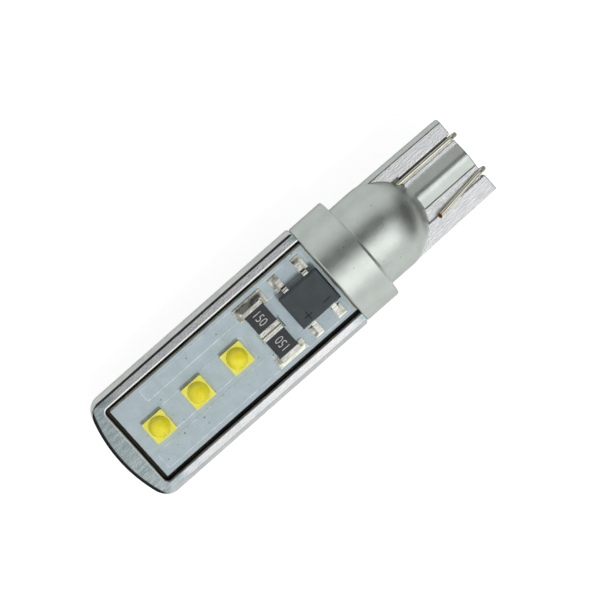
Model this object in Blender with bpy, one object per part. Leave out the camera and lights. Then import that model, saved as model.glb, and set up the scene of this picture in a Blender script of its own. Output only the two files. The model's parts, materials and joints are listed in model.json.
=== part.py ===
"""Wedge base LED bulb, in metres, +Z up.

A turned heat sink with two milled flats carries a circuit board in a pocket in each flat. Its
tongue and the boards' back ends sit in a wedge base, whose two wires bend round the blade's end as
contacts. The lamp is modelled along X from the collar's front face, nose towards -X and front board
towards +Z, and is laid down at the end as it comes to rest on its back face.
"""

import math

import bmesh
import bpy
from mathutils import Matrix, Vector

# Heat-sink body
NOSE_RADIUS = 0.0155
NOSE_CORNER = 0.00155
NOSE_RIM = 0.00225
REAR_EDGE = 0.0003
FLAT_TO_FLAT = 0.005
RIM_WIDTH = 0.00075
RIM_CHAMFER = 0.0002
POCKET_CHAMFER = 0.0003
POCKET_CORNER = 0.0005

# Circuit boards
BOARD_RECESS = 0.0004
BOARD_THICKNESS = 0.001
BOARD_NOSE_GAP = 0.00044
BOARD_SIDE_GAP = 0.00034
BOARD_MARGIN = 0.00044
TONGUE_LENGTH = 0.003
TONGUE_MARGIN = 0.00012

# LED packages
LED_COUNT = 3
LED_SIDE = 0.0025
LED_HEIGHT = 0.0008
LED_EDGE = 0.00006
LED_PITCH = 0.00508
LED_INSET = 0.00277
LED_TO_PAD = 0.00116
LED_DOME_RIM = 0.00015
LED_DOME_HEIGHT = 0.00095

# Resistors, end to end in a row that lies a little off the board's middle
ROW_SHIFT = -0.0002
RESISTOR_LENGTH = 0.00305
RESISTOR_WIDTH = 0.0024
RESISTOR_HEIGHT = 0.00055
RESISTOR_GAP = 0.00013
TERMINAL_LENGTH = 0.00045
TERMINAL_STEP = 0.00003

# Rectifier and its leads
RECTIFIER_LENGTH = 0.00486
RECTIFIER_WIDTH = 0.0039
RECTIFIER_HEIGHT = 0.0025
RECTIFIER_STANDOFF = 0.00012
RECTIFIER_DRAFT = 0.00018
RECTIFIER_EDGE = 0.00006
RECTIFIER_TO_COLLAR = 0.00047
RECTIFIER_TO_PAD = 0.00065
LEAD_WIDTH = 0.0006
LEAD_THICKNESS = 0.0002
LEAD_PITCH = 0.00256
LEAD_SHOULDER = 0.0003
LEAD_SLOPE = 0.0002
LEAD_FOOT = 0.0009

# Solder
SOLDER_FILM = 0.00006
OUTER_PAD_MARGIN = 0.00067
OUTER_PAD_REACH = 0.0007
OUTER_PAD_OVERLAP = 0.00072
OUTER_FILLET_HEIGHT = 0.00046
MIDDLE_PAD_MARGIN = 0.0002
MIDDLE_PAD_LENGTH = 0.0012
MIDDLE_FILLET_HEIGHT = 0.00028
LEAD_PAD_MARGIN = 0.00029
LEAD_PAD_REACH = 0.00035
LEAD_PAD_LEDGE = 0.00012
LEAD_PAD_HEEL = 0.0002

# Wedge base
COLLAR_STEP = 0.00017
COLLAR_WALL = 0.0008
COLLAR_EDGE = 0.00015
COLLAR_FILLET = 0.0004
NECK_RADIUS = 0.00485
NECK_LENGTH = 0.00285
BLADE_LENGTH = 0.0141
BLADE_ROOT_WIDTH = 0.00956
BLADE_END_WIDTH = 0.00924
BLADE_THICKNESS = 0.0023
BLADE_CORNER = 0.0002
BLADE_DRAFT = 0.00006
BLADE_WEB = 0.00124
RIB_WIDTH = 0.0028
RIB_THICKNESS = 0.0032
RIB_CROWN = 0.00022
SHOULDER_WIDTH = 0.00057
SHOULDER_THICKNESS = 0.00196
GROOVE_CLEARANCE = 0.0002
NOTCH_DEPTH = 0.00035
SOCKET_CLEARANCE = 0.0001
SOCKET_CORNER = 0.0004
SOCKET_END_GAP = 0.0004
CHAMBER_REACH = 0.00095
CHAMBER_CLEARANCE = 0.0002
CHAMBER_SIDE_GAP = 0.00045
WIRE_HOLE_CLEARANCE = 0.0004
WIRE_HOLE_MOUTH = 0.0004

# Wires
WIRE_DIAMETER = 0.0005
WIRE_REST = 0.00005
WIRE_BEND_SETBACK = 0.0014
WIRE_LOOP_SETBACK = 0.00012
WIRE_LOOP_SHIFT = 0.00012
WIRE_TIP_GAP = 0.0015
WIRE_TIP_SPLAY = 0.0004
WIRE_TIP_LIFT = 0.0001
WIRE_SOLDER_LENGTH = 0.00036
WIRE_SOLDER_WIDTH = 0.0009
WIRE_SOLDER_HEIGHT = 0.0007
LINK_DIAMETER = 0.0004
LINK_SPACING = 0.0022

# Gap between pieces that sit face to face
SEAT_GAP = 0.00002

# Where the lamp balances, as a share of the heat sink's length from the collar
BALANCE_SHARE = 1 / 3

# Facets
NOSE_STEPS = 9
CORNER_STEPS = 6
SIDE_STEPS = 10
EDGE_STEPS = 3
TURN_STEPS = 60
NECK_STEPS = 10
DOME_STEPS = 20
DOME_RINGS = 5
HOLE_STEPS = 12
CROWN_STEPS = 3
WIRE_STEPS = 10
TIP_STEPS = 4
FILLET_LINES = (0.3, 0.65)

# Along the lamp, from the collar's front face at 0 towards the nose
RECTIFIER_X = -RECTIFIER_TO_COLLAR - RECTIFIER_LENGTH / 2
OUTER_PAD_WIDTH = RESISTOR_WIDTH + 2 * OUTER_PAD_MARGIN
RESISTOR_X = RECTIFIER_X - RECTIFIER_LENGTH / 2 - RECTIFIER_TO_PAD - OUTER_PAD_WIDTH / 2
LAST_LED_X = RESISTOR_X - OUTER_PAD_WIDTH / 2 - LED_TO_PAD - LED_SIDE / 2
FIRST_LED_X = LAST_LED_X - LED_PITCH * (LED_COUNT - 1)
BOARD_FRONT = FIRST_LED_X - LED_INSET
POCKET_FRONT = BOARD_FRONT - BOARD_NOSE_GAP
BODY_LENGTH = NOSE_RIM - POCKET_FRONT

# Across the lamp, from its axis
RESISTOR_Y = (RESISTOR_LENGTH + RESISTOR_GAP) / 2
RESISTOR_ROW_END = RESISTOR_Y + RESISTOR_LENGTH / 2 + SEAT_GAP
BOARD_WIDTH = 2 * (RESISTOR_ROW_END + OUTER_PAD_REACH + BOARD_MARGIN)
POCKET_WIDTH = BOARD_WIDTH + 2 * BOARD_SIDE_GAP
TONGUE_WIDTH = BOARD_WIDTH + 2 * TONGUE_MARGIN
FLAT_HEIGHT = FLAT_TO_FLAT / 2
BODY_RADIUS = math.hypot(POCKET_WIDTH / 2 + POCKET_CHAMFER + RIM_WIDTH, FLAT_HEIGHT)
BOARD_TOP = FLAT_HEIGHT - BOARD_RECESS
WEB_HEIGHT = BOARD_TOP - BOARD_THICKNESS - SEAT_GAP
BOARD_MIDDLE = BOARD_TOP - BOARD_THICKNESS / 2

# The base, behind the collar's front face
COLLAR_RADIUS = BODY_RADIUS - COLLAR_STEP
SOCKET_DEPTH = TONGUE_LENGTH + SOCKET_END_GAP
COLLAR_LENGTH = SOCKET_DEPTH + COLLAR_WALL
NECK_END = COLLAR_LENGTH + NECK_LENGTH
BLADE_END = COLLAR_LENGTH + BLADE_LENGTH
WIRE_RADIUS = WIRE_DIAMETER / 2
GROOVE_HALF = WIRE_RADIUS + GROOVE_CLEARANCE
GROOVE_Y = RIB_WIDTH / 2 + SHOULDER_WIDTH + GROOVE_HALF
WIRE_HEIGHT = BLADE_WEB / 2 + WIRE_REST + WIRE_RADIUS
CHAMBER_HEIGHT = 2 * (BOARD_MIDDLE + LINK_DIAMETER / 2 + CHAMBER_CLEARANCE)
CHAMBER_WIDTH = 2 * (GROOVE_Y + WIRE_RADIUS + CHAMBER_SIDE_GAP)
CHAMBER_END = NECK_END + CHAMBER_REACH


def arc(centre, radius, start, end, steps):
    """Points from angle start to angle end, both included."""
    angles = [start + (end - start) * i / steps for i in range(steps + 1)]
    return [(centre[0] + radius * math.cos(a), centre[1] + radius * math.sin(a)) for a in angles]


def dome_end(y, z):
    """Where the base's dome ends along the lamp, at a place across it."""
    return NECK_END + math.sqrt(NECK_RADIUS**2 - y**2 - z**2)


def rounded_rectangle(half_width, half_height, corner, steps=EDGE_STEPS):
    """A closed outline about the origin, anticlockwise."""
    points = []
    for quarter, (side, top) in enumerate(((1, 1), (-1, 1), (-1, -1), (1, -1))):
        centre = (side * (half_width - corner), top * (half_height - corner))
        start = quarter * math.pi / 2
        points += arc(centre, corner, start, start + math.pi / 2, steps)
    return points


def add_loft(mesh, rings):
    """Join closed rings of as many points each, and close both ends."""
    rows = [[mesh.verts.new(point) for point in ring] for ring in rings]
    for low, high in zip(rows, rows[1:]):
        for i in range(len(low)):
            j = (i + 1) % len(low)
            mesh.faces.new((low[i], low[j], high[j], high[i]))
    mesh.faces.new(reversed(rows[0]))
    mesh.faces.new(rows[-1])


def add_spin(mesh, profile, steps):
    """Turn a profile of (x, radius) points, which starts and ends on the axis, about X."""
    verts = [mesh.verts.new((x, 0, radius)) for x, radius in profile]
    edges = [mesh.edges.new(pair) for pair in zip(verts, verts[1:])]
    bmesh.ops.rotate(
        mesh, verts=verts, cent=(0, 0, 0), matrix=Matrix.Rotation(math.pi / steps, 3, "X")
    )
    bmesh.ops.spin(
        mesh, geom=verts + edges, cent=(0, 0, 0), axis=(1, 0, 0), angle=2 * math.pi, steps=steps
    )
    bmesh.ops.remove_doubles(mesh, verts=mesh.verts, dist=1e-7)


def add_strip(mesh, line, thickness, width):
    """A bent strip: a line of (y, z) points with a thickness about it, as wide as given along X."""
    sides = ([], [])
    for i, point in enumerate(line):
        here = Vector(point)
        before = (here - Vector(line[i - 1])).normalized() if i else None
        after = (Vector(line[i + 1]) - here).normalized() if i + 1 < len(line) else before
        before = before or after
        normal = Vector((-before.y - after.y, before.x + after.x)).normalized()
        reach = thickness / 2 / normal.dot(Vector((-before.y, before.x)))
        sides[0].append(here + normal * reach)
        sides[1].append(here - normal * reach)
    outline = sides[0] + sides[1][::-1]
    add_loft(mesh, [[(x, y, z) for y, z in outline] for x in (-width / 2, width / 2)])


def material(name, colour, roughness, metallic):
    """A Principled finish with a linear colour."""
    finish = bpy.data.materials.new(name)
    finish.use_nodes = True
    shader = finish.node_tree.nodes["Principled BSDF"]
    shader.inputs["Base Color"].default_value = (*colour, 1)
    shader.inputs["Roughness"].default_value = roughness
    shader.inputs["Metallic"].default_value = metallic
    finish.diffuse_color = (*colour, 1)
    return finish


def add_object(name, mesh, finish, parent, location=(0, 0, 0)):
    """Put a finished bmesh into the scene, with its faces turned outwards."""
    bmesh.ops.recalc_face_normals(mesh, faces=mesh.faces)
    data = bpy.data.meshes.new(name)
    mesh.to_mesh(data)
    mesh.free()
    data.shade_smooth()
    data.set_sharp_from_angle(angle=math.radians(30))
    item = bpy.data.objects.new(name, data)
    bpy.context.scene.collection.objects.link(item)
    item.parent = parent
    item.location = location
    if finish:
        data.materials.append(finish)
    return item


def add_empty(name, parent=None, turn=0.0):
    """A frame for other objects, turned about X."""
    empty = bpy.data.objects.new(name, None)
    bpy.context.scene.collection.objects.link(empty)
    empty.parent = parent
    empty.rotation_euler.x = turn
    return empty


def cutter(name, rings, parent):
    """A hidden solid for a Boolean."""
    mesh = bmesh.new()
    add_loft(mesh, rings)
    item = add_object(name, mesh, None, parent)
    item.hide_render = True
    item.display_type = "WIRE"
    return item


def combine(item, other, operation):
    """Cut or join one solid with another."""
    change = item.modifiers.new(other.name, "BOOLEAN")
    change.operation = operation
    change.solver = "EXACT"
    change.object = other


def soften(item, width, segments=1):
    """Break the sharp edges of a simple solid."""
    bevel = item.modifiers.new("edges", "BEVEL")
    bevel.width = width
    bevel.segments = segments
    bevel.limit_method = "ANGLE"
    bevel.angle_limit = math.radians(40)


def body_ring(z, inset):
    """The heat sink's plan outline at a height, inset square to its edge."""
    reach = NOSE_RADIUS - NOSE_CORNER
    corner_r = BODY_RADIUS - NOSE_CORNER
    corner_x = math.sqrt(reach**2 - corner_r**2)
    turn = math.atan2(corner_r, corner_x)
    profile = []
    widest = math.sqrt((NOSE_RADIUS * math.sin(turn)) ** 2 - z**2)
    for i in range(NOSE_STEPS):
        angle = math.asin(math.hypot(widest * i / NOSE_STEPS, z) / NOSE_RADIUS)
        profile.append((NOSE_RADIUS * (1 - math.cos(angle)), NOSE_RADIUS * math.sin(angle), angle))
    for i in range(CORNER_STEPS + 1):
        angle = turn + (math.pi / 2 - turn) * i / CORNER_STEPS
        x = NOSE_RADIUS - corner_x - NOSE_CORNER * math.cos(angle)
        profile.append((x, corner_r + NOSE_CORNER * math.sin(angle), angle))
    for i in range(EDGE_STEPS + 1):
        angle = math.pi / 2 * (1 + i / EDGE_STEPS)
        x = BODY_LENGTH - SEAT_GAP - REAR_EDGE * (1 + math.cos(angle))
        profile.append((x, BODY_RADIUS - REAR_EDGE * (1 - math.sin(angle)), angle))
    half = []
    for x, radius, angle in profile:
        y = math.sqrt(max(radius**2 - z**2, 0))
        normal = Vector((-math.cos(angle), math.sin(angle) * y / radius if radius else 0))
        normal.normalize()
        half.append((x - BODY_LENGTH - inset * normal.x, y - inset * normal.y))
    other_half = [(x, -y) for x, y in reversed(half[1:])]
    return [(x, y, z) for x, y in half + other_half]


def pocket_ring(z, grow):
    """The board pocket's outline at a height, grown all round."""
    front = POCKET_FRONT - grow
    back = TONGUE_LENGTH + NOSE_RIM
    half = POCKET_WIDTH / 2 + grow
    corner = POCKET_CORNER + grow
    upper = arc((front + corner, half - corner), corner, math.pi / 2, math.pi, EDGE_STEPS)
    lower = arc((front + corner, corner - half), corner, math.pi, math.pi * 3 / 2, EDGE_STEPS)
    return [(x, y, z) for x, y in [(back, half), *upper, *lower, (back, -half)]]


def make_body(finish, sides, lamp):
    """The turned bar with its flats, its pockets and the tongue that goes into the base."""
    mesh = bmesh.new()
    shoulder = FLAT_HEIGHT - RIM_CHAMFER
    lean = math.asin(shoulder / BODY_RADIUS)
    rings = [body_ring(-FLAT_HEIGHT, RIM_CHAMFER)]
    for i in range(SIDE_STEPS + 1):
        rings.append(body_ring(BODY_RADIUS * math.sin(lean * (2 * i / SIDE_STEPS - 1)), 0))
    rings.append(body_ring(FLAT_HEIGHT, RIM_CHAMFER))
    add_loft(mesh, rings)
    body = add_object("heat_sink_body", mesh, finish, lamp)

    blank_height = (FLAT_HEIGHT + WEB_HEIGHT) / 2
    blank = rounded_rectangle(TONGUE_WIDTH / 2, blank_height, SEAT_GAP, 1)
    ends = (-TONGUE_LENGTH, TONGUE_LENGTH)
    blank_rings = [[(x, y, z) for y, z in blank] for x in ends]
    combine(body, cutter("tongue_blank", blank_rings, lamp), "UNION")
    levels = (
        (WEB_HEIGHT, 0),
        (FLAT_HEIGHT - POCKET_CHAMFER, 0),
        (FLAT_HEIGHT, POCKET_CHAMFER),
        (FLAT_HEIGHT + POCKET_CHAMFER, 2 * POCKET_CHAMFER),
    )
    for side, frame in sides.items():
        pocket = cutter(f"pocket_{side}", [pocket_ring(z, grow) for z, grow in levels], frame)
        combine(body, pocket, "DIFFERENCE")
    return body


def make_board(side, finish, frame):
    """The circuit board, from its gap at the nose to the tongue's end."""
    mesh = bmesh.new()
    half = BOARD_WIDTH / 2
    bottom = BOARD_TOP - BOARD_THICKNESS
    ends = (BOARD_FRONT, TONGUE_LENGTH)
    outline = [(ends[0], -half), (ends[1], -half), (ends[1], half), (ends[0], half)]
    add_loft(mesh, [[(x, y, z) for x, y in outline] for z in (bottom, BOARD_TOP)])
    return add_object(f"circuit_board_{side}", mesh, finish, frame)


def make_led(name, finish, frame, x):
    """A square package with a moulded dome, its origin under its middle on the board."""
    mesh = bmesh.new()
    half = LED_SIDE / 2
    side = rounded_rectangle(half, half, 2 * LED_EDGE, 1)
    top = rounded_rectangle(half - LED_EDGE, half - LED_EDGE, LED_EDGE, 1)
    levels = ((side, 0), (side, LED_HEIGHT - LED_EDGE), (top, LED_HEIGHT))
    add_loft(mesh, [[(px, py, z) for px, py in outline] for outline, z in levels])
    led = add_object(name, mesh, finish, frame, (x, 0, BOARD_TOP + SEAT_GAP))

    foot = half - LED_DOME_RIM
    radius = (foot**2 + LED_DOME_HEIGHT**2) / (2 * LED_DOME_HEIGHT)
    lean = math.atan2(foot, radius - LED_DOME_HEIGHT)
    profile = [(-LED_HEIGHT / 2, 0), (-LED_HEIGHT / 2, foot), (0, foot)]
    for i in range(1, DOME_RINGS + 1):
        angle = lean * (1 - i / DOME_RINGS)
        profile.append((LED_DOME_HEIGHT - radius * (1 - math.cos(angle)), radius * math.sin(angle)))
    dome_mesh = bmesh.new()
    add_spin(dome_mesh, profile, DOME_STEPS)
    upright = Matrix.Translation((0, 0, LED_HEIGHT)) @ Matrix.Rotation(-math.pi / 2, 4, "Y")
    bmesh.ops.transform(dome_mesh, matrix=upright, verts=dome_mesh.verts)
    dome = add_object(f"{name}_dome", dome_mesh, None, led)
    dome.hide_render = True
    dome.display_type = "WIRE"
    combine(led, dome, "UNION")
    return led


def make_resistor(name, finish, frame, y):
    """A chip resistor across the lamp, its end terminals a little thicker than its body."""
    mesh = bmesh.new()
    half = RESISTOR_LENGTH / 2
    inner = half - TERMINAL_LENGTH
    top = RESISTOR_HEIGHT
    outline = [
        (-half, 0), (-inner, 0), (-inner, TERMINAL_STEP), (inner, TERMINAL_STEP), (inner, 0), (half, 0),
        (half, top), (inner, top), (inner, top - TERMINAL_STEP), (-inner, top - TERMINAL_STEP),
        (-inner, top), (-half, top),
    ]
    width = RESISTOR_WIDTH / 2
    add_loft(mesh, [[(x, py, z) for py, z in outline] for x in (-width, width)])
    seat = BOARD_TOP + SOLDER_FILM + 2 * SEAT_GAP
    return add_object(name, mesh, finish, frame, (RESISTOR_X, y, seat))


def add_fillet(mesh, pad, cover, height):
    """A solder film on a pad that creeps up round the part that covers some of it.

    pad and cover are (low x, high x, low y, high y), and height is the fillet's at the cover.
    """
    lines = []
    for axis in (0, 2):
        low, high = pad[axis : axis + 2]
        stops = {low, high}
        for edge, end, away in ((cover[axis], low, -1), (cover[axis + 1], high, 1)):
            if low < edge < high:
                stops.update((edge, edge + away * SEAT_GAP))
                stops.update(edge + (end - edge) * share for share in FILLET_LINES)
        lines.append(sorted(stops))

    def level(x, y):
        out_x = max(cover[0] - x, x - cover[1], 0)
        out_y = max(cover[2] - y, y - cover[3], 0)
        if out_x < SEAT_GAP / 2 and out_y < SEAT_GAP / 2:
            return SOLDER_FILM
        room_x = max(cover[0] - pad[0], pad[1] - cover[1], SEAT_GAP)
        room_y = max(cover[2] - pad[2], pad[3] - cover[3], SEAT_GAP)
        share = min(math.hypot(out_x / room_x, out_y / room_y), 1)
        return SOLDER_FILM + height * (1 - share) ** 2

    grid = [[mesh.verts.new((x, y, level(x, y))) for y in lines[1]] for x in lines[0]]
    for row, after in zip(grid, grid[1:]):
        for j in range(len(row) - 1):
            mesh.faces.new((row[j], after[j], after[j + 1], row[j + 1]))
    rim = grid[0] + [row[-1] for row in grid[1:]] + grid[-1][-2::-1] + [row[0] for row in grid[-2:0:-1]]
    foot = [mesh.verts.new((vert.co.x, vert.co.y, 0)) for vert in rim]
    for i in range(len(rim)):
        j = (i + 1) % len(rim)
        mesh.faces.new((rim[i], rim[j], foot[j], foot[i]))
    mesh.faces.new(foot)


def make_resistor_solder(side, finish, frame):
    """The wide joints at the resistors' outer ends and the joint between them."""
    half = RESISTOR_WIDTH / 2 + SEAT_GAP
    seat = BOARD_TOP + SEAT_GAP
    wide = OUTER_PAD_WIDTH / 2
    for number, away in ((1, 1), (2, -1)):
        end = RESISTOR_ROW_END + away * ROW_SHIFT
        pad = (-wide, wide, end - OUTER_PAD_OVERLAP, RESISTOR_ROW_END + OUTER_PAD_REACH)
        mesh = bmesh.new()
        add_fillet(mesh, pad, (-half, half, 0, end), OUTER_FILLET_HEIGHT)
        turn = Matrix.Rotation(0 if away > 0 else math.pi, 3, "Z")
        bmesh.ops.rotate(mesh, verts=mesh.verts, cent=(0, 0, 0), matrix=turn)
        name = f"resistor_solder_{side}_outer_{number}"
        add_object(name, mesh, finish, frame, (RESISTOR_X, 0, seat))
    mesh = bmesh.new()
    narrow = half + MIDDLE_PAD_MARGIN
    length = MIDDLE_PAD_LENGTH / 2
    pad = (-narrow, narrow, -length, length)
    add_fillet(mesh, pad, (-half, half, -length, length), MIDDLE_FILLET_HEIGHT)
    name = f"resistor_solder_{side}_middle"
    add_object(name, mesh, finish, frame, (RESISTOR_X, ROW_SHIFT, seat))


def make_rectifier(side, finish, frame):
    """The four-lead rectifier's moulded body, drafted both ways from its parting line."""
    mesh = bmesh.new()
    rings = []
    for z, draft in (
        (RECTIFIER_STANDOFF, RECTIFIER_DRAFT),
        (RECTIFIER_HEIGHT / 2, 0),
        (RECTIFIER_HEIGHT, RECTIFIER_DRAFT),
    ):
        x = RECTIFIER_LENGTH / 2 - draft
        y = RECTIFIER_WIDTH / 2 - draft
        rings.append([(-x, -y, z), (x, -y, z), (x, y, z), (-x, y, z)])
    add_loft(mesh, rings)
    place = (RECTIFIER_X, ROW_SHIFT, BOARD_TOP)
    body = add_object(f"rectifier_{side}", mesh, finish, frame, place)
    soften(body, RECTIFIER_EDGE)
    return body


def make_leads(side, lead_finish, solder_finish, frame):
    """The rectifier's bent leads, and the solder joint under and before each foot."""
    foot_z = SOLDER_FILM + SEAT_GAP * 2 + LEAD_THICKNESS / 2
    root = RECTIFIER_WIDTH / 2 + SEAT_GAP
    knee = root + LEAD_SHOULDER
    heel = knee + LEAD_SLOPE
    toe = heel + LEAD_FOOT
    middle = RECTIFIER_HEIGHT / 2
    number = 0
    for y_side in (1, -1):
        for x_side in (-1, 1):
            number += 1
            place = (RECTIFIER_X + x_side * LEAD_PITCH / 2, ROW_SHIFT, BOARD_TOP)
            mesh = bmesh.new()
            line = [(root, middle), (knee, middle), (heel, foot_z), (toe, foot_z)]
            add_strip(mesh, [(y * y_side, z) for y, z in line], LEAD_THICKNESS, LEAD_WIDTH)
            add_object(f"rectifier_lead_{side}_{number}", mesh, lead_finish, frame, place)

            mesh = bmesh.new()
            top = foot_z - LEAD_THICKNESS / 2 - SEAT_GAP
            front = toe + SEAT_GAP
            end = front + LEAD_PAD_REACH
            rise = top + LEAD_THICKNESS
            back = heel - LEAD_PAD_HEEL
            ledge = (front + LEAD_PAD_LEDGE, rise)
            outline = [(back, SEAT_GAP), (end, SEAT_GAP), (end, top), ledge]
            outline += [(front, rise), (front, top), (back, top)]
            width = LEAD_WIDTH / 2 + LEAD_PAD_MARGIN
            add_loft(mesh, [[(x, y * y_side, z) for y, z in outline] for x in (-width, width)])
            add_object(f"lead_solder_{side}_{number}", mesh, solder_finish, frame, place)


def blade_ring(x, width, thinner=0.0):
    """The blade's section: a crowned rib, a shoulder, a wire groove and a flange each way."""
    radius = width / 2
    rib = RIB_WIDTH / 2
    inner = GROOVE_Y - GROOVE_HALF
    outer = GROOVE_Y + GROOVE_HALF
    flange = BLADE_THICKNESS / 2 - thinner
    shoulder = SHOULDER_THICKNESS / 2
    draft = BLADE_DRAFT
    quarter = []
    for i in range(CROWN_STEPS + 1):
        share = i / CROWN_STEPS
        quarter.append((rib * share, RIB_THICKNESS / 2 - thinner - RIB_CROWN * share**2))
    quarter += [(rib + draft, shoulder), (inner - draft, shoulder), (inner, BLADE_WEB / 2)]
    quarter += [(outer, BLADE_WEB / 2), (outer + draft, flange - draft), (outer + 2 * draft, flange)]
    side = [(math.sqrt(radius**2 - z**2), z) for z in (flange - BLADE_CORNER, flange / 2, 0)]
    quarter += [(side[0][0] - BLADE_CORNER, flange), *side]
    half = quarter + [(y, -z) for y, z in reversed(quarter[:-1])]
    return [(x, y, z) for y, z in half + [(-y, z) for y, z in reversed(half[1:-1])]]


def make_base(finish, sides, lamp):
    """The one-piece base: collar, neck, domed end and blade, hollow for the boards and wires."""
    mesh = bmesh.new()
    profile = [(0, 0)]
    profile += arc((COLLAR_EDGE, COLLAR_RADIUS - COLLAR_EDGE), COLLAR_EDGE, math.pi, math.pi / 2, 2)
    rear_edge = (COLLAR_LENGTH - COLLAR_EDGE, COLLAR_RADIUS - COLLAR_EDGE)
    profile += arc(rear_edge, COLLAR_EDGE, math.pi / 2, 0, 2)
    root = (COLLAR_LENGTH + COLLAR_FILLET, NECK_RADIUS + COLLAR_FILLET)
    profile += arc(root, COLLAR_FILLET, math.pi, math.pi * 3 / 2, EDGE_STEPS)
    profile += arc((NECK_END, 0), NECK_RADIUS, math.pi / 2, 0, NECK_STEPS)
    add_spin(mesh, profile, TURN_STEPS)
    base = add_object("wedge_base", mesh, finish, lamp)

    start = NECK_END - COLLAR_FILLET
    blade = cutter(
        "blade",
        [
            blade_ring(start, BLADE_ROOT_WIDTH),
            blade_ring(BLADE_END - BLADE_CORNER, BLADE_END_WIDTH),
            blade_ring(BLADE_END, BLADE_END_WIDTH - 2 * BLADE_CORNER, BLADE_CORNER / 2),
        ],
        lamp,
    )
    combine(base, blade, "UNION")

    socket_half = TONGUE_WIDTH / 2 + SOCKET_CLEARANCE
    socket = rounded_rectangle(socket_half, BOARD_TOP + SOCKET_CLEARANCE, SOCKET_CORNER)
    chamber = rounded_rectangle(CHAMBER_WIDTH / 2, CHAMBER_HEIGHT / 2, SOCKET_CORNER)
    hollows = (
        ("socket", socket, (-COLLAR_LENGTH, SOCKET_DEPTH)),
        ("chamber", chamber, (SOCKET_DEPTH / 2, CHAMBER_END)),
    )
    for name, outline, ends in hollows:
        hollow = cutter(name, [[(x, y, z) for y, z in outline] for x in ends], lamp)
        combine(base, hollow, "DIFFERENCE")

    hole = WIRE_RADIUS + WIRE_HOLE_CLEARANCE
    circle = arc((GROOVE_Y, WIRE_HEIGHT), hole, 0, 2 * math.pi, HOLE_STEPS)[:-1]
    mouth = dome_end(GROOVE_Y, WIRE_HEIGHT) + WIRE_HOLE_MOUTH
    hole_ends = ((SOCKET_DEPTH + CHAMBER_END) / 2, mouth)
    for side, frame in sides.items():
        drill = cutter(f"wire_hole_{side}", [[(x, y, z) for y, z in circle] for x in hole_ends], frame)
        combine(base, drill, "DIFFERENCE")
        notch = [(GROOVE_Y - GROOVE_HALF, -NECK_RADIUS), (GROOVE_Y + GROOVE_HALF, -NECK_RADIUS)]
        notch += [(y, NECK_RADIUS) for y, _ in reversed(notch)]
        notch_ends = (BLADE_END - NOTCH_DEPTH, BLADE_END + NOTCH_DEPTH)
        slot = cutter(f"end_notch_{side}", [[(x, y, z) for y, z in notch] for x in notch_ends], frame)
        combine(base, slot, "DIFFERENCE")
    return base


def make_wire(name, points, diameter, finish, frame):
    """A round wire through the points, with closed ends."""
    data = bpy.data.curves.new(name, "CURVE")
    data.dimensions = "3D"
    data.bevel_depth = diameter / 2
    data.bevel_resolution = 2
    data.use_fill_caps = True
    spline = data.splines.new("POLY")
    spline.points.add(len(points) - 1)
    for point, place in zip(spline.points, points):
        point.co = (*place, 1)
    data.materials.append(finish)
    wire = bpy.data.objects.new(name, data)
    bpy.context.scene.collection.objects.link(wire)
    wire.parent = frame
    return wire


def ease(share):
    """A smooth step from 0 to 1."""
    return share * share * (3 - 2 * share)


def contact_path():
    """A contact wire's line: from the board's end, out along its groove, round the blade and back."""
    start = TONGUE_LENGTH + 2 * SEAT_GAP + WIRE_SOLDER_LENGTH
    bend = CHAMBER_END - WIRE_BEND_SETBACK - start
    points = []
    for i in range(WIRE_STEPS + 1):
        share = i / WIRE_STEPS
        z = BOARD_MIDDLE + (WIRE_HEIGHT - BOARD_MIDDLE) * ease(share)
        points.append((start + bend * share, GROOVE_Y, z))
    turn_x = BLADE_END - NOTCH_DEPTH - WIRE_LOOP_SETBACK
    for i in range(WIRE_STEPS + 1):
        angle = math.pi * i / WIRE_STEPS
        y = GROOVE_Y - WIRE_LOOP_SHIFT * i / WIRE_STEPS
        points.append((turn_x + WIRE_HEIGHT * math.sin(angle), y, WIRE_HEIGHT * math.cos(angle)))
    tip_z = BLADE_THICKNESS / 2 + WIRE_RADIUS + WIRE_TIP_LIFT
    tip_length = turn_x - dome_end(GROOVE_Y + WIRE_TIP_SPLAY, tip_z) - WIRE_TIP_GAP
    for i in range(1, TIP_STEPS + 1):
        share = i / TIP_STEPS
        y = GROOVE_Y - WIRE_LOOP_SHIFT + (WIRE_TIP_SPLAY + WIRE_LOOP_SHIFT) * share
        z = -WIRE_HEIGHT - (tip_z - WIRE_HEIGHT) * share
        points.append((turn_x - tip_length * share, y, z))
    return points


def link_path(y):
    """A link wire's line: from one board's end round the tongue to the other's."""
    start = TONGUE_LENGTH + SEAT_GAP
    lead = LINK_DIAMETER
    points = [(start, y, BOARD_MIDDLE)]
    for i in range(WIRE_STEPS + 1):
        angle = math.pi * i / WIRE_STEPS
        x = start + lead + BOARD_MIDDLE * math.sin(angle)
        points.append((x, y, BOARD_MIDDLE * math.cos(angle)))
    return [*points, (start, y, -BOARD_MIDDLE)]


def make_wire_solder(side, finish, frame):
    """The joint between a board's back end and the contact wire."""
    mesh = bmesh.new()
    half = WIRE_SOLDER_HEIGHT / 2
    outline = rounded_rectangle(WIRE_SOLDER_WIDTH / 2, half, half / 2, 2)
    start = TONGUE_LENGTH + SEAT_GAP
    ends = (start, start + WIRE_SOLDER_LENGTH)
    add_loft(mesh, [[(x, y + GROOVE_Y, z + BOARD_MIDDLE) for y, z in outline] for x in ends])
    return add_object(f"wire_solder_{side}", mesh, finish, frame)


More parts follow.
